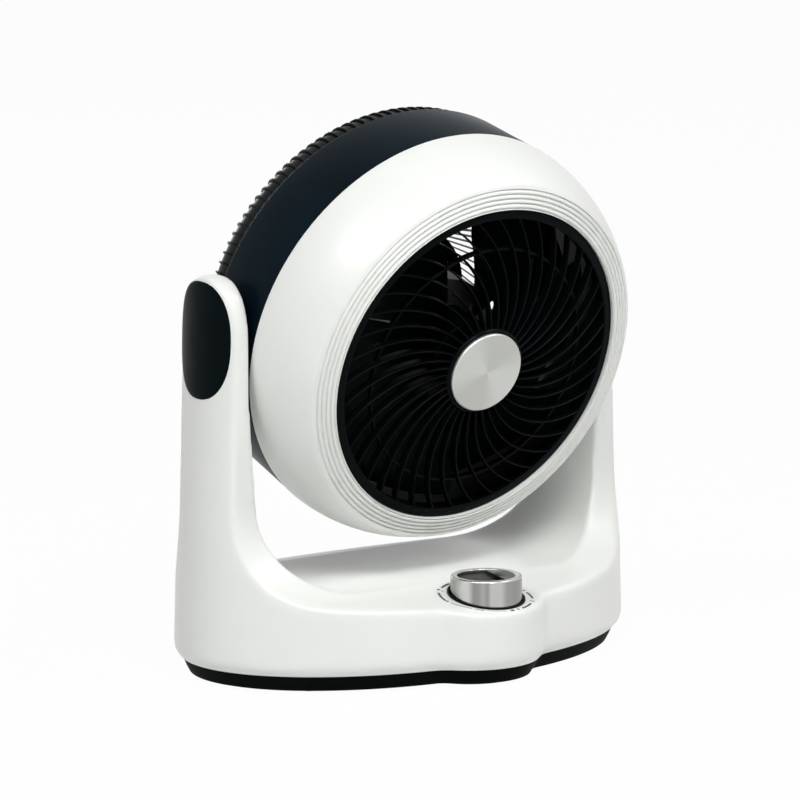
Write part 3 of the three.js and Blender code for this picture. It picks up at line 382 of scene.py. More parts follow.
# a fine even skin over a body, with its edges rounded by smoothing
def rounded(bm, grain, passes):
    base = asObject(bm, "skin")
    skin = base.modifiers.new("skin", "REMESH")
    skin.mode = "VOXEL"
    skin.voxel_size = grain * mm
    bpy.context.view_layer.update()
    result = bpy.data.meshes.new_from_object(base.evaluated_get(bpy.context.evaluated_depsgraph_get()))
    out = bmesh.new()
    out.from_mesh(result)
    data = base.data
    bpy.data.objects.remove(base)
    bpy.data.meshes.remove(data)
    bpy.data.meshes.remove(result)
    for i in range(passes):
        bmesh.ops.smooth_vert(out, verts=out.verts[:], factor=0.5, use_axis_x=True, use_axis_y=True,
                              use_axis_z=True)
    return out


# materials: each is a plain colour with the small marks that such a surface has; the badge, the knob and the
# knob insert also carry painted reflections, highlight and shade


def whitePlastic(name, dial=False):
    shade = Shade(name, Roughness=0.34, Specular_IOR_Level=0.42, Coat_Weight=0.12, Coat_Roughness=0.2)
    point = shade.point()
    broad = shade.noise(point, 9.0, 2.0)
    fine = shade.noise(point, 1400.0, 2.0)
    colour = shade.mix(broad.smooth(0.35, 0.65), (0.892, 0.908, 0.876), (0.917, 0.932, 0.902))
    if dial:
        colour = shade.mix(dialMask(shade), colour, (0.03, 0.032, 0.034))
    shade.paint("Base Color", colour)
    shade.paint("Roughness", fine * 0.06 + broad * 0.05 + 0.28)
    shade.bump(fine, 0.00002, 0.35)
    return shade.material


def blackPlastic(name, gloss, grain=900.0, tint=(0.0015, 0.0024, 0.0027), shine=0.05):
    shade = Shade(name, Specular_IOR_Level=shine)
    point = shade.point()
    broad = shade.noise(point, 14.0, 3.0)
    fine = shade.noise(point, grain, 2.0)
    shade.paint("Base Color", shade.mix(broad.smooth(0.3, 0.7), tint, tuple(c * 1.7 for c in tint)))
    shade.paint("Roughness", fine * 0.08 + broad * 0.1 + gloss)
    shade.bump(fine, 0.00003, 0.4)
    return shade.material


def metal(name, tint, rough, grainScale=(1, 1, 1), mark=600.0):
    shade = Shade(name, Metallic=1.0)
    streaks = shade.noise(shade.point(None, grainScale), mark, 4.0, 0.6)
    stain = shade.noise(shade.point(), 60.0, 3.0)
    shade.paint("Base Color", shade.mix(streaks.smooth(0.3, 0.7), tuple(c * 0.8 for c in tint), tint))
    shade.paint("Roughness", streaks * 0.14 + stain * 0.1 + rough)
    shade.bump(streaks, 0.00002, 0.4)
    return shade.material


# fine rings turned into the badge, and soft light and dark sectors by angle that are painted reflections in its
# base colour
def brushedDisc(name, place, tint):
    shade = Shade(name, Metallic=0.85, Specular_IOR_Level=0.5)
    x, y, z = shade.axes(shade.point(place))
    radius = (x * x + y * y) ** 0.5
    angle = y.maths("ARCTAN2", x)
    rings = shade.node("ShaderNodeTexNoise", {"noise_dimensions": "1D"},
                       {"W": radius * 9000.0, "Scale": 1.0, "Detail": 3.0}).outputs["Fac"]
    rings = Value(shade, rings)
    # painted reflection: light and dark sectors by angle round the badge
    reflectionSectors = (angle * 2.0 + 0.9).maths("COSINE") * 0.5 + 0.5
    colour = shade.mix(reflectionSectors.smooth(0.1, 0.95), tuple(c * 0.8 for c in tint), tint)
    colour = shade.mix(rings.smooth(0.35, 0.65) * 0.35, colour, tuple(min(c * 1.25, 1) for c in tint))
    shade.paint("Base Color", colour)
    shade.paint("Roughness", rings * 0.12 + 0.34)
    shade.bump(rings, 0.00002, 0.3)
    return shade.material


# upright light and dark bands on the side of the turned metal knob: painted reflections in its base colour
def knobMetal(name, place, reflectionBands):
    shade = Shade(name, Metallic=1.0)
    x, y, z = shade.axes(shade.point(place))
    angle = y.maths("ARCTAN2", x)
    turn = (angle / math.tau + 1.0).maths("FRACT")
    # painted reflections: listed tones of light and dark round the knob
    stops = [(degrees / 360, (tone, tone * 1.01, tone * 0.97)) for degrees, tone in reflectionBands]
    colour = shade.node("ShaderNodeValToRGB", {"stops": stops}, {"Fac": turn}).outputs["Color"]
    lines = shade.node("ShaderNodeTexNoise", {"noise_dimensions": "2D"},
                       {"Vector": shade.node("ShaderNodeCombineXYZ", None, {"X": angle * 1.2, "Y": z * 5200.0})
                        .outputs[0], "Scale": 1.0, "Detail": 3.0}).outputs["Fac"]
    lines = Value(shade, lines)
    colour = shade.mix(lines.smooth(0.4, 0.7) * 0.12, colour, (0.2, 0.2, 0.19))
    # painted highlight along the top of the rim
    rim = z.smooth(69.0 * mm, 69.8 * mm) * 0.7
    shade.paint("Base Color", shade.mix(rim, colour, (0.66, 0.67, 0.64)))
    shade.paint("Roughness", lines * 0.1 + 0.2)
    shade.bump(lines, 0.00001, 0.3)
    return shade.material


knobReflectionBands = [
    # degrees round the knob from its right, counter-clockwise, and how light the painted reflection makes the
    # metal there
    (0, 0.42), (40, 0.3), (75, 0.5), (110, 0.34), (150, 0.28), (172, 0.34), (189, 0.64), (203, 0.62),
    (213, 0.28), (221, 0.3), (228, 0.4), (236, 0.3), (241, 0.52), (258, 0.53), (268, 0.34), (290, 0.29),
    (318, 0.27), (340, 0.36),
]

# black at the front of the dish and greyer at its back, as painted shade; lighter grey on the raised step
def insertWithPaintedShade(name, place):
    shade = Shade(name, Specular_IOR_Level=0.08)
    x, y, z = shade.axes(shade.point(place))
    fine = shade.noise(shade.point(), 1100.0, 2.0)
    # painted shade: the dish floor black at the front, greyer towards the back
    floor = shade.mix(y.smooth(-6 * mm, 18 * mm), (0.002, 0.0025, 0.0025), (0.04, 0.042, 0.04))
    stepTop = z.smooth(69.3 * mm, 69.6 * mm)
    shade.paint("Base Color", shade.mix(stepTop, floor, (0.14, 0.145, 0.14)))
    shade.paint("Roughness", fine * 0.1 + 0.34)
    shade.bump(fine, 0.00003, 0.4)
    return shade.material


# the ring of arcs, strokes and dots printed round the knob
dial = {
    # start in degrees round the knob, radius there, end, radius there, half of the line's width, darkness
    "strokes": [
        [112, 28.4, 131, 30.2, 1.0, 1.0], [149, 31.6, 176, 31.5, 1.05, 1.0],
        [185, 30.8, 199, 29.4, 0.6, 0.9], [199, 29.4, 214, 28.4, 0.6, 0.9],
        [219, 28.2, 231, 28.0, 0.85, 0.75], [235, 27.8, 262, 27.5, 0.6, 0.5],
        [269, 27.7, 275, 27.8, 1.0, 1.0], [281, 27.7, 284, 28.6, 0.9, 1.0],
        [290, 28.4, 314, 30.0, 0.85, 1.0], [321.5, 30.4, 323.5, 30.5, 2.0, 1.0],
        [332, 31.2, 353, 31.0, 1.0, 1.0], [358, 30.8, 361, 30.8, 1.3, 1.0],
    ],
    # degrees, radius and size
    "dots": [[138.7, 31.6, 1.3], [141.4, 28.9, 0.8], [178.5, 31.2, 1.2], [100, 30.2, 0.9]],
}


def dialMask(shade):
    x, y, z = shade.axes(shade.point(knobPlace))
    radius = (x * x + y * y) ** 0.5 / mm
    degrees = (y.maths("ARCTAN2", x) / math.tau + 1.0).maths("FRACT") * 360.0
    mask = 0.0
    for start, startRadius, end, endRadius, half, dark in dial["strokes"]:
        past = (degrees - start + 360.0).maths("MODULO", 360.0)
        line = past * ((endRadius - startRadius) / (end - start)) + startRadius
        stroke = abs(radius - line).smooth(half, half * 0.6) * (past < end - start) * dark
        mask = stroke.maths("MAXIMUM", mask)
    for place, away, size in dial["dots"]:
        dx = x / mm - math.cos(math.radians(place)) * away
        dy = y / mm - math.sin(math.radians(place)) * away
        mask = mask.maths("MAXIMUM", ((dx * dx + dy * dy) ** 0.5).smooth(size, size * 0.7))
    return mask * (z - y * stand["deckSlope"] > (stand["deckHeight"] - 1.5) * mm)


# stand: plan outline, side profile and the U between the arms

stand = {
    "halfWidth": 169.0,
    "halfDepth": 111.0,
    "lobeRadius": 52.0,
    "lobeAhead": 77.0,
    "lobeBlend": 6.0,
    "wallBottom": 12.5,
    "lean": 7.5,
    "armTop": 272.5,
    "armAhead": 32.5,
    "armBehind": 30.5,
    "wall": 3.0,
    # the wall tucks in below the first height, by the inset at its bottom
    "tuckTop": 17.2,
    "tuck": 4.5,
    "gapHalfWidth": 144.5,
    "gapLean": 5.2,
    "gapLeanHeight": 193.0,
    "gapFloor": 62.8,
    "gapCorner": 57.0,
    "deckHeight": 56.0,
    "deckSlope": 0.17,
    "sweepDepth": 52.0,
    "sweepHeight": 62.0,
    "rearSweepDepth": 38.0,
    "rearDrop": 3.0,
    "capCentre": 230.3,
    "crown": 42.2,
    "squareness": 2.4,
    "steps": 320,
    "grain": 1.5,
    "outerSmoothing": 14,
    "gapSmoothing": 6,
    "wellRadius": 25.7,
    "shelfTop": 42.5,
    "shelfWall": 2.5,
    "bushHole": 12.3,
    "capMargin": 0.3,
    "capInner": 152.0,
    "capHalfDepth": 28.0,
    "capHalfHeight": 38.6,
    "inletHeight": 33.0,
    # radius and start of the boss, the seat and the hole for the grommet, measured to the rear
    "inletBoss": [13, 103.6],
    "inletSeat": [9.9, 109],
    "inletHole": [6.7, 95],
    "spindleHole": 4.9,
    # how far the cutting shapes reach
    "past": 175,
    "gapPast": [-160, 180],
    "rearPast": 160,
    "knobPast": 300,
    "bushPast": 156,
}


finish = {
    "shell": whitePlastic("white shell"),
    "standShell": whitePlastic("white stand", dial=True),
    "gloss": blackPlastic("black gloss", 0.16, shine=0.035),
    "cap": blackPlastic("cap gloss", 0.13, tint=(0.0012, 0.0038, 0.0046), shine=0.03),
    "satin": blackPlastic("black satin", 0.36, tint=(0.0015, 0.0026, 0.003), shine=0.06),
    "drum": blackPlastic("drum satin", 0.26, 1500.0, (0.0006, 0.004, 0.0068), 0.042),
    "ribs": blackPlastic("rib satin", 0.24, tint=(0.001, 0.002, 0.0024), shine=0.09),
    "plate": blackPlastic("plate black", 0.5, tint=(0.002, 0.003, 0.0028), shine=0.02),
    "insert": insertWithPaintedShade("knob insert", knobPlace),
    "badge": brushedDisc("badge metal", headPlace, (0.58, 0.59, 0.56)),
    "knob": knobMetal("knob metal", knobPlace, knobReflectionBands),
    "steel": metal("ground steel", (0.5, 0.51, 0.52), 0.22),
    "zinc": metal("zinc plating", (0.46, 0.48, 0.5), 0.32, mark=900.0),
    "motor": metal("die casting", (0.4, 0.41, 0.42), 0.45, mark=1500.0),
    "core": metal("stacked sheets", (0.3, 0.31, 0.32), 0.4, (1, 1, 12), 240.0),
    "copper": metal("copper wire", (0.62, 0.26, 0.11), 0.3, (1, 1, 9), 500.0),
    "rubber": blackPlastic("foot rubber", 0.78, 700.0, (0.014, 0.014, 0.014)),
    "beige": blackPlastic("beige moulding", 0.5, 800.0, (0.36, 0.33, 0.26), 0.5),
}
print("materials made")


def planOutline(inset, share=1.0, steps=stand["steps"]):
    width = stand["halfWidth"] - inset
    depth = stand["halfDepth"] - inset
    lobe = stand["lobeRadius"] - inset
    ahead = stand["lobeAhead"]
    points = []
    for i in range(steps):
        angle = math.tau * i / steps
        x, y = math.cos(angle), math.sin(angle)
        oval = 1 / math.hypot(x / width, y / depth)
        chord = lobe * lobe - (ahead * x) ** 2
        nose = -y * ahead + math.sqrt(chord) if y < 0 and chord > 0 else 0
        near = max(stand["lobeBlend"] - abs(oval - nose), 0)
        reach = max(oval, nose) + near * near / (4 * stand["lobeBlend"])
        points.append((x * reach * share, y * reach * share + layout["pivotY"]))
    return points


def leanAt(height):
    fall = stand["lean"] / stand["halfWidth"]
    return 1 - fall * (height - stand["wallBottom"]) / (stand["armTop"] - stand["wallBottom"])


# the wall's outline from below its bottom edge up; rings are [inset, height]
def leaningWalls(rings):
    return layered([level(planOutline(inset, leanAt(height)), height) for inset, height in rings])


# where the sweep between a face of the arm and the deck has its centre, and where it meets the deck
def sweepShape(face, sweep):
    height = stand["sweepHeight"]
    slope = stand["deckSlope"] * sweep / height
    touch = sweep * slope / math.hypot(slope, 1)
    away = face + sweep
    deck = stand["deckHeight"] + (layout["knobAhead"] - away + touch) * stand["deckSlope"]
    return away, deck + height / math.hypot(slope, 1), touch


# height of the deck or of the sweep at a distance ahead of the oval's centre
def deckAt(ahead):
    away, centreHeight, touch = sweepShape(stand["armAhead"], stand["sweepDepth"])
    if ahead >= away - touch:
        return stand["deckHeight"] + (layout["knobAhead"] - ahead) * stand["deckSlope"]
    across = min((away - ahead) / stand["sweepDepth"], 1)
    return centreHeight - math.sqrt(1 - across * across) * stand["sweepHeight"]


# half of the stand's side view: deck, sweep and rounded arm, as distances from its middle and heights
def halfProfile(face, sweep, drop, inset, steps=28):
    away, centreHeight, touch = sweepShape(face, sweep)
    far = stand["lobeAhead"] + stand["lobeRadius"] + 2
    crown = stand["crown"] - inset
    deck = stand["deckHeight"] + (layout["knobAhead"] - far) * stand["deckSlope"] - drop - inset
    points = [(far, -2), (far, deck)]
    start = math.asin(touch / sweep)
    for i in range(steps + 1):
        angle = start + (math.pi / 2 - start) * i / steps
        points.append((away - math.sin(angle) * (sweep + inset),
                       centreHeight - drop - math.cos(angle) * (stand["sweepHeight"] + inset)))
    power = 2 / stand["squareness"]
    for i in range(steps):
        angle = math.pi / 2 * i / steps
        points.append(((face - inset) * math.cos(angle) ** power,
                       stand["capCentre"] + crown * math.sin(angle) ** power))
    return points


def sideOutline(inset):
    front = halfProfile(stand["armAhead"], stand["sweepDepth"], 0, inset)
    rear = halfProfile(stand["armBehind"], stand["rearSweepDepth"], stand["rearDrop"], inset)
    top = (0, stand["capCentre"] + stand["crown"] - inset)
    whole = front + [top] + [(-behind, height) for behind, height in reversed(rear)]
    return [(layout["pivotY"] - ahead, height) for ahead, height in whole]


# the U between the arms: upright at the top, leaning in lower down, with round corners
def gapOutline(grow, steps=28):
    width, radius = stand["gapHalfWidth"] + grow, stand["gapCorner"] + grow
    floor, top = stand["gapFloor"] - grow, stand["armTop"] + 6
    centreX = width - stand["gapLean"] - radius
    right = [(width, top), (width, stand["gapLeanHeight"])]
    for i in range(steps + 1):
        angle = math.pi / 2 * i / steps
        right.append((centreX + math.cos(angle) * radius, floor + radius - math.sin(angle) * radius))
    return right + [(-x, z) for x, z in reversed(right)]


def capOutline(grow, count=96):
    power = 2 / stand["squareness"]
    points = []
    for i in range(count):
        angle = math.tau * i / count
        y, z = math.cos(angle), math.sin(angle)
        points.append((layout["pivotY"] + math.copysign(abs(y) ** power, y) * (stand["capHalfDepth"] + grow),
                       stand["capCentre"] + math.copysign(abs(z) ** power, z) * (stand["capHalfHeight"] + grow)))
    return points


def acrossX(radius, start, end, height=layout["pivotHeight"]):
    place = Matrix.Translation((0, layout["pivotY"] * mm, height * mm)) @ Matrix.Rotation(math.pi / 2, 4, "Y")
    return rod(radius, start, end, place)


def backY(radius, start, end):
    place = (Matrix.Translation((0, layout["pivotY"] * mm, stand["inletHeight"] * mm))
             @ Matrix.Rotation(-math.pi / 2, 4, "X"))
    return rod(radius, start, end, place)


def makeStand():
    bottom, top = stand["wallBottom"], stand["armTop"] + 2
    tuck, tuckTop, wall = stand["tuck"], stand["tuckTop"], stand["wall"]
    past, rearPast, shelf = stand["past"], stand["rearPast"], stand["shelfTop"]
    walls = leaningWalls([[tuck * 2, bottom - 4.5], [tuck, bottom], [0, tuckTop], [0, top]])
    body = carved(walls, ("INTERSECT", pushed(sideOutline(0), alongX, -past, past)))
    body = rounded(body, stand["grain"], stand["outerSmoothing"])
    body = carved(body, ("DIFFERENCE", pushed(gapOutline(0), alongY, *stand["gapPast"])))
    body = rounded(body, stand["grain"], stand["gapSmoothing"])
    hollow = carved(
        leaningWalls([[tuck + 2.5, bottom - 8], [tuck + 2.5, bottom + 3], [wall, bottom + 9], [wall, top]]),
        ("INTERSECT", pushed(sideOutline(wall), alongX, -past, past)),
        ("DIFFERENCE", pushed(gapOutline(wall), alongY, *stand["gapPast"])),
        ("DIFFERENCE", rod(stand["wellRadius"] + wall, shelf - stand["shelfWall"], stand["knobPast"],
                           knobPlace, 96)),
        ("DIFFERENCE", backY(*stand["inletBoss"], rearPast)),
    )
    return carved(
        body,
        ("DIFFERENCE", pushed([(-180, -180), (180, -180), (180, 180), (-180, 180)], alongZ, -10, bottom)),
        ("DIFFERENCE", hollow),
        ("DIFFERENCE", rod(stand["wellRadius"], shelf, stand["knobPast"], knobPlace, 96)),
        ("DIFFERENCE", rod(stand["spindleHole"], 30, 60, knobPlace, 32)),
        ("DIFFERENCE", backY(*stand["inletSeat"], rearPast)),
        ("DIFFERENCE", backY(*stand["inletHole"], rearPast)),
        ("DIFFERENCE", acrossX(stand["bushHole"], -stand["bushPast"], stand["bushPast"])),
        ("DIFFERENCE", pushed(capOutline(stand["capMargin"]), alongX, stand["capInner"], past)),
        ("DIFFERENCE", pushed(capOutline(stand["capMargin"]), alongX, -past, -stand["capInner"])),
    )


addPiece("stand-shell", makeStand(), "stand", finish["standShell"], ["stand_shell"], 40)
print("stand made")


# base plate, feet, screws and cord inlet

plate = {
    "insetTop": 5.6,
    "insetMiddle": 8.4,
    "insetBottom": 15.5,
    "insetRim": 7.4,
    "bottom": 0.8,
    "middle": 5.8,
    "top": 12.2,
    "rim": 17.5,
    "wall": 2.2,
    "feet": [(-112, -43), (-112, 61), (112, -43), (112, 61)],
    "footRadius": 9.0,
    "footHeight": 3.2,
    "footRoom": 0.3,
    "footPocket": 3.5,
    "screws": [(-92, -37), (-92, 55), (92, -37), (92, 55)],
    "screwHole": 3.9,
    "screwPocket": 4.0,
    "screwPlane": 6.1,
    # head's radius and height, shank's radius and length
    "screw": [3.6, 2, 1.8, 26],
    "floor": 2.4,
    # how far the side bulges out and down between its bottom and its middle
    "bulge": [1.6, 1.1],
}


def makePlate():
    top, mid, low, wall = plate["insetTop"], plate["insetMiddle"], plate["insetBottom"], plate["wall"]
    rim, (out, down) = plate["insetRim"], plate["bulge"]
    body = layered([
        level(planOutline(low), plate["bottom"]),
        level(planOutline((mid + low) / 2 - out), (plate["bottom"] + plate["middle"]) / 2 - down),
        level(planOutline(mid), plate["middle"]),
        level(planOutline(top), plate["top"]),
        level(planOutline(rim), plate["top"]),
        level(planOutline(rim), plate["rim"]),
        level(planOutline(rim + wall), plate["rim"]),
        level(planOutline(rim + wall), plate["top"]),
        level(planOutline(low + wall), plate["bottom"] + plate["floor"]),
    ])
    holes = [(plate["footRadius"] + plate["footRoom"], plate["footPocket"], plate["feet"]),
             (plate["screwHole"], plate["screwPocket"], plate["screws"])]
    cuts = [rod(radius, -2, height, Matrix.Translation((x * mm, y * mm, 0)))
            for radius, height, places in holes for x, y in places]
    return carved(body, ("DIFFERENCE", joined(cuts)))


def makeScrew(headRadius, headHeight, radius, length):
    body = turned([[0, -headHeight], [headRadius, -headHeight, headHeight * 0.45], [headRadius, 0],
                   [radius, 0], [radius, length], [0, length]], 32)
    slots = []
    for turn in (0, math.pi / 2):
        slot = bmesh.new()
        bmesh.ops.create_cube(slot, size=1)
        shape = Matrix.Diagonal((headRadius * 1.15 * mm, headRadius * 0.26 * mm, headHeight * mm, 1))
        place = Matrix.Translation((0, 0, -headHeight * mm)) @ Matrix.Rotation(turn, 4, "Z")
        slots.append(move(slot, place @ shape))
    for slot in slots:
        body = carved(body, ("DIFFERENCE", slot))
    return body


addPiece("base-plate", makePlate(), "stand", finish["plate"], ["base_plate"])
for i, (x, y) in enumerate(plate["feet"]):
    radius, height = plate["footRadius"], plate["footHeight"]
    foot = turned([[0, 0], [radius, 0, 1.2], [radius, height], [0, height]], 48)
    move(foot, Matrix.Translation((x * mm, y * mm, 0)))
    addPiece(f"foot-{i + 1}", foot, "stand", finish["rubber"], [f"foot_{i + 1}"])
for i, (x, y) in enumerate(plate["screws"]):
    screw = makeScrew(*plate["screw"])
    move(screw, Matrix.Translation((x * mm, y * mm, plate["screwPlane"] * mm)))
    addPiece(f"base-screw-{i + 1}", screw, "stand", finish["zinc"], [f"base_screw_{i + 1}"])
# grommet of the cord inlet: radius, distance behind the stand's middle, rounding
grommet = [[3.6, 101.7], [8.0, 101.7, 0.5], [8.0, 103.3], [6.4, 103.3], [6.4, 109.3], [9.6, 109.3],
           [9.6, 110.9, 0.7], [3.6, 110.9, 0.7]]
inlet = turned(grommet, 64)
move(inlet, Matrix.Translation((0, layout["pivotY"] * mm, stand["inletHeight"] * mm))
     @ Matrix.Rotation(-math.pi / 2, 4, "X"))
addPiece("cord-inlet", inlet, "stand", finish["satin"], ["cord_inlet"])
print("base made")


# arm caps: a slightly domed skin over the leaning wall, thinning to a rounded rim

cap = {
    "proud": 0.7,
    "depth": 2.6,
    "rings": [[0.25, 0.0], [0.5, 0.0], [0.75, 0.0], [0.9, 0.0], [0.955, 0.05], [0.985, 0.22], [1.0, 0.6]],
}


def wallX(y, z):
    share = leanAt(z)
    across = (y - layout["pivotY"]) / (stand["halfDepth"] * share)
    return stand["halfWidth"] * share * math.sqrt(1 - across * across)


def makeCap(side):
    outline = capOutline(0)

    def ring(scale, away):
        points = []
        for y, z in outline:
            y = layout["pivotY"] + (y - layout["pivotY"]) * scale
            z = stand["capCentre"] + (z - stand["capCentre"]) * scale
            points.append((side * (wallX(y, z) + away) * mm, y * mm, z * mm))
        return points

    front = [ring(scale, cap["proud"] - fall) for scale, fall in cap["rings"]]
    back = [ring(1, -cap["depth"]), ring(0.6, -cap["depth"]), ring(0.25, -cap["depth"])]
    return layered(front + back)


for side, word in ((-1, "left"), (1, "right")):
    addPiece(f"arm-cap-{word}", makeCap(side), "stand", finish["cap"], [f"arm_cap_{word}"])
print("caps made")


# knob, its insert and bezel

knob = {
    "radius": 23.8,
    "top": 70.5,
    "bottom": 46.6,
    "flare": 0.6,
    "wall": 2.4,
    "dish": 5.0,
    "rimWidth": 4.5,
    "rimDepth": 2.4,
    "insertTop": 67.7,
    "stepHeight": 2.1,
    "stepAway": 7.0,
    "stepTurn": -14.0,
    "stepRound": 0.5,
    "stepBlock": 60.0,
    "insertRoom": 0.3,
    "bezelRadius": 26.1,
    "bezelBore": 24.8,
    "bezelSleeve": 25.4,
    "bezelDepth": 6.0,
    "bezelHeight": 1.3,
}


def makeKnob():
    radius, wall, top, flare = knob["radius"], knob["wall"], knob["top"], knob["flare"]
    floor, inside, bore = top - knob["dish"], radius - wall, radius - knob["rimWidth"]
    ledge = top - knob["rimDepth"]
    body = turned([
        [0, floor], [inside, floor, 0.4], [inside, ledge], [bore, ledge, 0.2], [bore, top - 0.3, 0.4],
        [bore + 1.6, top, 1.2], [radius, top, 1.2], [radius, 59.5], [radius + flare * 0.15, 57],
        [radius + flare * 0.5, 54.2], [radius + flare, 51.2], [radius + flare, knob["bottom"], 0.4],
        [inside, knob["bottom"]], [inside, floor - wall], [6, floor - wall], [6, 54.6], [3.3, 54.6],
        [3.3, 61.3], [0, 61.3],
    ], 192)
    return move(body, knobPlace)


# black disc in the dish, with a raised step on one side that shows the setting
def makeInsert():
    room, block = knob["insertRoom"], knob["stepBlock"]
    radius = knob["radius"] - knob["wall"] - room
    bore = knob["radius"] - knob["rimWidth"] - room
    low, high = knob["top"] - knob["dish"] + room, knob["insertTop"]
    disc = turned([[0, low], [radius, low], [radius, high, 0.3], [0, high]], 128)
    step = turned([[0, low + 1], [bore, low + 1], [bore, high + knob["stepHeight"], 0.3],
                   [0, high + knob["stepHeight"]]], 128)
    side = bmesh.new()
    bmesh.ops.create_cube(side, size=block * mm)
    turn = Matrix.Rotation(math.radians(knob["stepTurn"]), 4, "Z")
    move(side, turn @ Matrix.Translation(((block / 2 + knob["stepAway"]) * mm, 0, 66 * mm)))
    raised = carved(step, ("INTERSECT", side))
    edge = [e for e in raised.edges
            if e.calc_length() > 10 * mm and all(v.co.z > (high + 0.5) * mm for v in e.verts)]
    bmesh.ops.bevel(raised, geom=edge, offset=knob["stepRound"] * mm, offset_type="OFFSET", segments=3,
                    profile=0.5, affect="EDGES", material=-1)
    return move(joined([disc, raised]), knobPlace)


def makeBezel():
    outer, bore, rise = knob["bezelRadius"], knob["bezelBore"], knob["bezelHeight"]
    sleeve, depth = knob["bezelSleeve"], knob["bezelDepth"]
    ring = turned([[bore, -depth], [sleeve, -depth], [sleeve, 0.3], [outer, 0.3], [outer, rise, 0.4],
                   [bore, rise, 0.3]], 192)
    for v in ring.verts:
        ahead = layout["knobAhead"] - v.co.y / mm
        v.co.z += deckAt(ahead) * mm
    return move(ring, knobPlace)


addPiece("speed-knob", makeKnob(), "knob", finish["knob"], ["speed_knob"])
addPiece("knob-insert", makeInsert(), "knob", finish["insert"], ["knob_insert"])
addPiece("knob-bezel", makeBezel(), "stand", finish["satin"], ["knob_bezel"])
print("knob made")


# head shells, turned round the air axis

head = {
    "crest": 141.5,
    "seam": 32.0,
    "ringSeat": [127.2, 84.0],
    "opening": [111.2, 89.2],
    "wall": 2.4,
    "grooves": 5,
    "groovePitch": 2.9,
    "grooveInset": 1.0,
    "grooveHalf": 0.5,
    "grooveDepth": 1.1,
    "ridgeRise": 1.1,
    "recess": 79.4,
    "flange": 109.0,
    "drumRear": [138.3, -20.0],
    "drumBore": 136.0,
    "drumFlange": 122.0,
}


def headArc(inset, steps):
    seatRadius, seatPlane = head["ringSeat"]
    across, along = head["crest"] - seatRadius, seatPlane - head["seam"]
    radius = (along * along + across * across) / (2 * across)
    last = math.asin(along / radius)
    return [[head["crest"] - radius + (radius - inset) * math.cos(last * i / steps),
             head["seam"] + (radius - inset) * math.sin(last * i / steps)] for i in range(steps + 1)]


# rounded ridges between narrow grooves, from the outer seat to the opening's edge
def ringProfile():
    (seatRadius, seatPlane), (openRadius, openPlane) = head["ringSeat"], head["opening"]
    fall = (openPlane - seatPlane) / (seatRadius - openRadius)
    pitch, half, depth, rise = head["groovePitch"], head["grooveHalf"], head["grooveDepth"], head["ridgeRise"]
    outermost = head["grooveInset"] + pitch * (head["grooves"] - 1)

    def point(away, height):
        return [openRadius + away, openPlane - fall * away + height]

    points = []
    for share in (0.25, 0.5, 0.75, 0.9):
        away = seatRadius - openRadius - (seatRadius - openRadius - outermost - half) * share
        points.append(point(away, rise * 0.75 * math.sin(share * math.pi / 2)))
    for i in range(head["grooves"] - 1, -1, -1):
        middle = head["grooveInset"] + pitch * i
        points += [point(middle + half, rise * 0.45), point(middle + half * 0.55, -depth * 0.6),
                   point(middle, -depth), point(middle - half * 0.55, -depth * 0.6)]
        if i:
            for share in (0.0, 0.12, 0.3, 0.5, 0.7, 0.88):
                away = middle - half - (pitch - half * 2) * share
                points.append(point(away, rise * (0.45 + 0.55 * math.sin(share * math.pi) ** 0.6)))
    points += [point(head["grooveInset"] - half, rise * 0.45), point(0.2, rise * 0.5), point(0, rise * 0.2)]
    return points


def makeFrontShell():
    seatRadius, openRadius = head["ringSeat"][0], head["opening"][0]
    back = head["recess"] - head["wall"]
    inner = [p for p in headArc(head["wall"], 14) if p[1] < back - 2]
    arc = headArc(0, 28)
    arc[0] = arc[0] + [0.4]
    ring = [[openRadius, head["recess"]], [head["flange"], head["recess"]], [head["flange"], back],
            [seatRadius, back]]
    return move(turned(arc + ringProfile() + ring + inner[::-1], 240), headPlace)


def makeDrum():
    rearRadius, rear = head["drumRear"]
    seam = head["seam"] - 0.3
    body = turned([
        [rearRadius, rear, 1.4], [rearRadius + 1.1, rear + 20], [head["crest"] - 0.3, seam, 0.5],
        [138.2, seam], [138.2, seam + 8, 0.5], [head["drumBore"], seam + 8], [head["drumBore"], rear + 2.4],
        [head["drumFlange"], rear + 2.4], [head["drumFlange"], rear],
    ], 240)
    hubs = []
    for side in (-1, 1):
        hub = turned([[8.3, 137.7], [18, 137.7], [18, 134], [20, 134], [20, 142.2, 0.6], [8.3, 142.2, 0.4]], 64)
        hubs.append(move(hub, Matrix.Rotation(side * math.pi / 2, 4, "Y")))
    return move(joined([body, *hubs]), headPlace)


addPiece("front-shell", makeFrontShell(), "head", finish["shell"], ["front_shell"], 50)
addPiece("rear-drum", makeDrum(), "head", finish["drum"], ["rear_drum"])
print("shells made")


# front grille, badge and air duct

grille = {
    "radius": 110.8,
    "rimInner": 104.4,
    "hub": 30.2,
    "hubWall": 7.4,
    "crown": 11.4,
    "edgePlane": 87.2,
    "vanes": 40,
    "vaneDepth": 6.4,
    "vaneWidth": 1.9,
    "vanePower": 1.2,
    "vaneSweep": 29.0,
    "stiffener": 83.0,
    "badge": 27.6,
    "badgeFront": 101.4,
    "badgeDepth": 2.6,
}


def grillePlane(radius):
    share = radius / grille["radius"]
    return grille["edgePlane"] + grille["crown"] * (1 - share * share)


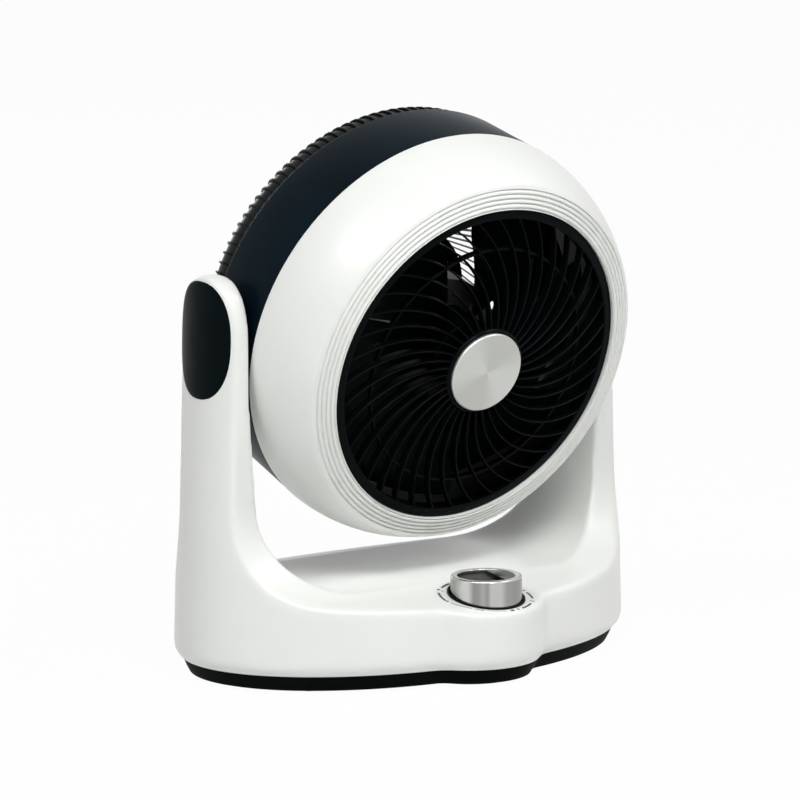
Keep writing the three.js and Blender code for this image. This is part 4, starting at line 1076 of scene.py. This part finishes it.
def makeGrille():
    edge, inner = grillePlane(grille["radius"]), grillePlane(grille["rimInner"])
    rim = turned([[grille["rimInner"], head["recess"] + 0.3], [grille["radius"], head["recess"] + 0.3],
                  [grille["radius"], edge + 0.4, 0.6], [grille["rimInner"], inner + 0.4, 0.8]], 200)
    front = grille["badgeFront"] - grille["badgeDepth"] - 0.3
    hub = turned([[0, front - grille["hubWall"]], [grille["hub"], front - grille["hubWall"]],
                  [grille["hub"], front - 0.6, 0.8], [grille["badge"] + 0.9, front + 1.1, 0.5],
                  [grille["badge"] + 0.3, front], [0, front]], 128)
    start, reach = grille["hub"] - 1.5, grille["rimInner"] + 1 - (grille["hub"] - 1.5)

    def bend(share, across, deep):
        radius = start + reach * share
        sweep = math.radians(grille["vaneSweep"]) * share ** grille["vanePower"]
        width = grille["vaneWidth"] * (0.45 + 0.55 * (0.5 + deep)) * (0.8 + 0.2 * share)
        angle = sweep + across * width / radius
        return (math.cos(angle) * radius, math.sin(angle) * radius,
                grillePlane(radius) + (deep - 0.5) * grille["vaneDepth"])

    behind = grillePlane(grille["stiffener"]) - grille["vaneDepth"]
    ring = turned([[grille["stiffener"] - 1, behind - 1, 0.3], [grille["stiffener"] + 1, behind - 1, 0.3],
                   [grille["stiffener"] + 1, behind + 3, 0.5], [grille["stiffener"] - 1, behind + 3, 0.5]], 160)
    return move(joined([rim, hub, ring, around(bar(22, bend, 0.28), grille["vanes"])]), headPlace)


def makeBadge():
    front, radius = grille["badgeFront"], grille["badge"]
    return move(turned([[0, front - grille["badgeDepth"]], [radius, front - grille["badgeDepth"]],
                        [radius, front - 0.9, 0.3], [radius - 0.9, front, 0.4], [0, front]], 160), headPlace)


def makeDuct():
    return move(turned([[107.6, 76.7], [117, 76.7, 0.4], [117, 74.3], [109.6, 74.3], [109.6, 38, 6],
                        [117.6, 30], [115.6, 30], [107.6, 38, 6]], 200), headPlace)


addPiece("front-grille", makeGrille(), "head", finish["gloss"], ["front_grille"])
addPiece("badge", makeBadge(), "head", finish["badge"], ["badge"])
addPiece("air-duct", makeDuct(), "head", finish["satin"], ["air_duct"])
print("grille made")


# rear grille and its screws

rear = {
    "radius": 135.9,
    "rimInner": 123.9,
    "rimRear": -23.3,
    "rimFront": -20.3,
    "cup": 58.0,
    "cupPlane": -46.0,
    # the rib's outer edge leaves its straight run here, bends round the next point and ends at the last
    "bend": [[112.0, -45.5], [137.2, -45.3], [135.4, -23.3]],
    "bendShare": 0.6,
    "ribs": 116,
    "ribWidth": 1.9,
    "ribDepth": 3.2,
    "sweep": 32.0,
    "taper": 0.6,
    # closed band inside the ribs at the shoulder: its depths below their outer edge and its inner radius
    "band": [1.5, 2.9],
    "bandInner": 117.0,
    "screwRing": 127.7,
    "screwPlane": -23.6,
    "screw": [3.6, 2, 1.8, 12],
}


def makeRearGrille():
    cupRadius, cupPlane = rear["cup"], rear["cupPlane"]
    rim = turned([[rear["rimInner"], rear["rimRear"], 0.4], [rear["radius"], rear["rimRear"], 0.8],
                  [rear["radius"], rear["rimFront"]], [rear["rimInner"], rear["rimFront"]]], 200)
    cup = turned([[0, cupPlane], [cupRadius, cupPlane, 2.2], [cupRadius, -11], [43, -11], [43, -13.6],
                  [cupRadius - 2.6, -21.6], [cupRadius - 2.6, cupPlane + 2.6], [0, cupPlane + 2.6]], 128)
    (startRadius, startPlane), (midRadius, midPlane), (endRadius, endPlane) = rear["bend"]
    turn = math.radians(rear["sweep"])
    root = Vector((cupRadius - 1.5, 0))
    knee = Vector((math.cos(-turn), math.sin(-turn))) * startRadius
    heading = (knee - root).normalized()
    width, depth, straight = rear["ribWidth"], rear["ribDepth"], rear["bendShare"]

    # radius, plane and slope of the ribs' outer edge round the shoulder
    def shoulder(t):
        radius = (1 - t) ** 2 * startRadius + 2 * t * (1 - t) * midRadius + t * t * endRadius
        plane = (1 - t) ** 2 * startPlane + 2 * t * (1 - t) * midPlane + t * t * endPlane
        outwards = (1 - t) * (midRadius - startRadius) + t * (endRadius - midRadius)
        forwards = (1 - t) * (midPlane - startPlane) + t * (endPlane - midPlane)
        return radius, plane, math.atan2(forwards, outwards)

    # the outer edge's place, plane and slope: straight from the cup, then round the shoulder to the rim
    def path(share):
        if share < straight:
            return root.lerp(knee, share / straight), startPlane, 0.0
        radius, plane, slope = shoulder((share - straight) / (1 - straight))
        reach = heading * max((radius - startRadius) * 1.05, 0)
        return (knee + reach).normalized() * radius, plane, slope

    def bandEdge(depth):
        places = [shoulder(i / 16) for i in range(17)]
        return [[radius - depth * math.sin(slope), plane + depth * math.cos(slope)]
                for radius, plane, slope in places if radius > rear["bandInner"]]

    def ribPoint(share, across, deep):
        flat, plane, slope = path(share)
        outward = flat.normalized()
        inwards = (0.5 - deep) * depth
        flat = flat - outward * inwards * math.sin(slope)
        plane = plane + inwards * math.cos(slope)
        taper = rear["taper"] + (1 - rear["taper"]) * min(share / 0.6, 1)
        side = Vector((-outward.y, outward.x)) * across * width * taper * (0.4 + 0.6 * (0.5 + deep))
        return (flat.x + side.x, flat.y + side.y, plane)

    ribs = around(bar(20, ribPoint, 0.28), rear["ribs"])
    outer, inner = (bandEdge(depth) for depth in rear["band"])
    band = turned(outer + inner[::-1], 200)
    return move(joined([rim, cup, ribs, band]), headPlace)


addPiece("rear-grille", makeRearGrille(), "head", finish["ribs"], ["rear_grille"])
for i, (x, y) in enumerate(pointsRound(rear["screwRing"], 4, math.pi / 4)):
    screw = makeScrew(*rear["screw"])
    move(screw, headPlace @ Matrix.Translation((x * mm, y * mm, rear["screwPlane"] * mm)))
    addPiece(f"grille-screw-{i + 1}", screw, "head", finish["zinc"], [f"grille_screw_{i + 1}"])
print("rear grille made")


# fan blade and nut

blade = {
    "radius": 104.0,
    "hub": 25.0,
    "hubRear": 46.0,
    "hubFront": 76.0,
    "count": 6,
    "rise": 24.0,
    "middle": 61.0,
    "thickness": 1.8,
    "chord": 56.0,
    "rootShare": 0.86,
    "rake": 12.0,
}


def makeBlade():
    hubRadius, front, back = blade["hub"], blade["hubFront"], blade["hubRear"]
    hub = turned([[4.3, front], [hubRadius, front, 2.4], [hubRadius, back], [hubRadius - 2.6, back],
                  [hubRadius - 2.6, front - 2.6], [8, front - 2.6], [8, back + 2.6], [4.3, back + 2.6]], 96)
    root = hubRadius - 1
    leaf = bmesh.new()
    bmesh.ops.create_grid(leaf, x_segments=22, y_segments=22, size=0.5)
    for v in leaf.verts:
        share, across = v.co.x + 0.5, v.co.y
        trim = 1 - 0.16 * max((share - 0.72) / 0.28, 0) ** 2
        radius = root + (blade["radius"] - root) * share
        turn = blade["chord"] * (blade["rootShare"] + (1 - blade["rootShare"]) * share) * trim
        angle = math.radians(across * turn + blade["rake"] * share)
        camber = 3.0 * (1 - across * across * 4)
        v.co = Vector((math.cos(angle) * radius, math.sin(angle) * radius,
                       blade["middle"] + across * (blade["rise"] - 2) - camber + 1.2)) * mm
    bmesh.ops.recalc_face_normals(leaf, faces=leaf.faces[:])
    bmesh.ops.solidify(leaf, geom=leaf.faces[:], thickness=blade["thickness"] * mm)
    bmesh.ops.recalc_face_normals(leaf, faces=leaf.faces[:])
    return move(joined([hub, around(leaf, blade["count"])]), headPlace)


addPiece("fan-blade", makeBlade(), "spin", finish["gloss"], ["fan_blade"])
nutProfile = [[4.3, 76.3], [11, 76.3], [11, 81.6, 1.2], [5.5, 86.9, 1.6], [0, 86.9], [0, 84.3], [4.3, 84.3]]
addPiece("blade-nut", move(turned(nutProfile, 48), headPlace), "spin", finish["satin"], ["blade_nut"])
print("blade made")


# pieces inside keep their shape and get their finishes

inside = {
    "beige": ["capacitor", "terminal_block", "switch_body"],
    "steel": ["motor_shaft", "switch_spindle", "trunnion_left", "trunnion_right", "bearing_rear",
              "bearing_front", "pivot_washer_left", "pivot_washer_right"],
    "zinc": ["mount_screw_1", "mount_screw_2", "mount_screw_3", "motor_screw_1", "motor_screw_2",
             "motor_screw_3", "pivot_screw_left", "pivot_screw_right", "switch_nut", "motor_mount"],
    "motor": ["motor_rear_bell", "motor_front_bell", "rotor_core"],
    "core": ["stator_core"],
    "copper": ["stator_windings"],
    "satin": ["pivot_bush_left", "pivot_bush_right"],
}
for key, names in inside.items():
    for name in names:
        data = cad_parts[name].data
        data.materials.clear()
        data.materials.append(finish[key])
print("inner pieces painted")


# camera, floor, world and lamps

view = {
    "azimuth": -35.96,
    "elevation": 8.99,
    "away": 3.685,
    "aim": (0, 3.7, 232.94),
    "up": -57.2,
    "right": -3.5,
    "lens": 247.5,
}


# direction from the fan towards a place at an angle round from its front and an angle up
def fromFront(turn, rise):
    a, e = math.radians(turn), math.radians(rise)
    return Vector((math.sin(a) * math.cos(e), -math.cos(a) * math.cos(e), math.sin(e)))


def makeCamera():
    a = math.radians(view["azimuth"])
    back = fromFront(view["azimuth"], view["elevation"])
    right = Vector((math.cos(a), math.sin(a), 0))
    up = back.cross(right)
    middle = Vector(view["aim"]) * mm
    place = middle + back * view["away"]
    target = middle + up * view["up"] * mm + right * view["right"] * mm
    data = bpy.data.cameras.new("camera")
    data.lens = view["lens"]
    data.sensor_width = 36
    data.clip_start, data.clip_end = 0.05, 60
    camera = bpy.data.objects.new("camera", data)
    bpy.context.scene.collection.objects.link(camera)
    camera.location = place
    camera.rotation_euler = (place - target).to_track_quat("Z", "Y").to_euler()
    bpy.context.scene.camera = camera


# 1 for rays straight from the camera, through glass or off a glossy surface, else 0
def seenRays(tree):
    path = tree.nodes.new("ShaderNodeLightPath")
    seen = path.outputs["Is Camera Ray"]
    for kind in ("Is Transmission Ray", "Is Glossy Ray"):
        either = tree.nodes.new("ShaderNodeMath")
        either.operation = "MAXIMUM"
        tree.links.new(seen, either.inputs[0])
        tree.links.new(path.outputs[kind], either.inputs[1])
        seen = either.outputs[0]
    return seen


def makeFloor():
    bm = bmesh.new()
    bmesh.ops.create_grid(bm, x_segments=2, y_segments=2, size=14)
    floor = asObject(bm, "floor")
    material = bpy.data.materials.new("floor")
    material.use_nodes = True
    tree = material.node_tree
    tree.nodes.clear()
    share = tree.nodes.new("ShaderNodeMath")
    share.operation = "MULTIPLY"
    share.inputs[1].default_value = light["floorShare"]
    tree.links.new(seenRays(tree), share.inputs[0])
    plain = tree.nodes.new("ShaderNodeBsdfDiffuse")
    noise = tree.nodes.new("ShaderNodeTexNoise")
    noise.inputs["Scale"].default_value = 3.0
    ramp = tree.nodes.new("ShaderNodeValToRGB")
    ramp.color_ramp.elements[0].color = (0.86, 0.86, 0.86, 1)
    ramp.color_ramp.elements[1].color = (0.9, 0.9, 0.9, 1)
    tree.links.new(noise.outputs["Fac"], ramp.inputs[0])
    tree.links.new(ramp.outputs[0], plain.inputs["Color"])
    glow = tree.nodes.new("ShaderNodeEmission")
    glow.inputs["Strength"].default_value = 1.0
    mix = tree.nodes.new("ShaderNodeMixShader")
    out = tree.nodes.new("ShaderNodeOutputMaterial")
    tree.links.new(share.outputs[0], mix.inputs["Fac"])
    tree.links.new(plain.outputs[0], mix.inputs[1])
    tree.links.new(glow.outputs[0], mix.inputs[2])
    tree.links.new(mix.outputs[0], out.inputs["Surface"])
    floor.data.materials.append(material)


light = {
    "world": 0.0,
    "floorShare": 0.97,
    "aim": (0, 0, 0.2),
    "away": 3.0,
    "size": 0.9,
    "lamps": [
        # name, degrees round from the front with the right as positive, degrees up, power
        ["key", -15, 45, 35],
        ["left", -75, 45, 27],
        ["right", 45, 45, 21],
        ["frontLeft", -45, 45, 14],
        ["farRight", 75, 45, 4],
        ["rear", 170, 13, 9],
    ],
}


def makeLight():
    world = bpy.data.worlds.new("world")
    bpy.context.scene.world = world
    world.use_nodes = True
    tree = world.node_tree
    tree.nodes.clear()
    strength = tree.nodes.new("ShaderNodeMapRange")
    tree.links.new(seenRays(tree), strength.inputs["Value"])
    strength.inputs["To Min"].default_value = light["world"]
    strength.inputs["To Max"].default_value = 1.0
    background = tree.nodes.new("ShaderNodeBackground")
    background.inputs["Color"].default_value = (1, 1, 1, 1)
    tree.links.new(strength.outputs["Result"], background.inputs["Strength"])
    out = tree.nodes.new("ShaderNodeOutputWorld")
    tree.links.new(background.outputs[0], out.inputs["Surface"])
    for name, turn, rise, power in light["lamps"]:
        towards = fromFront(turn, rise)
        data = bpy.data.lights.new(name, "AREA")
        data.shape = "DISK"
        data.size = light["size"]
        data.energy = power
        lamp = bpy.data.objects.new(name, data)
        bpy.context.scene.collection.objects.link(lamp)
        lamp.location = Vector(light["aim"]) + towards * light["away"]
        lamp.rotation_euler = towards.to_track_quat("Z", "Y").to_euler()


makeCamera()
makeFloor()
makeLight()
bpy.context.scene.view_settings.view_transform = "Standard"
print("camera and light made")
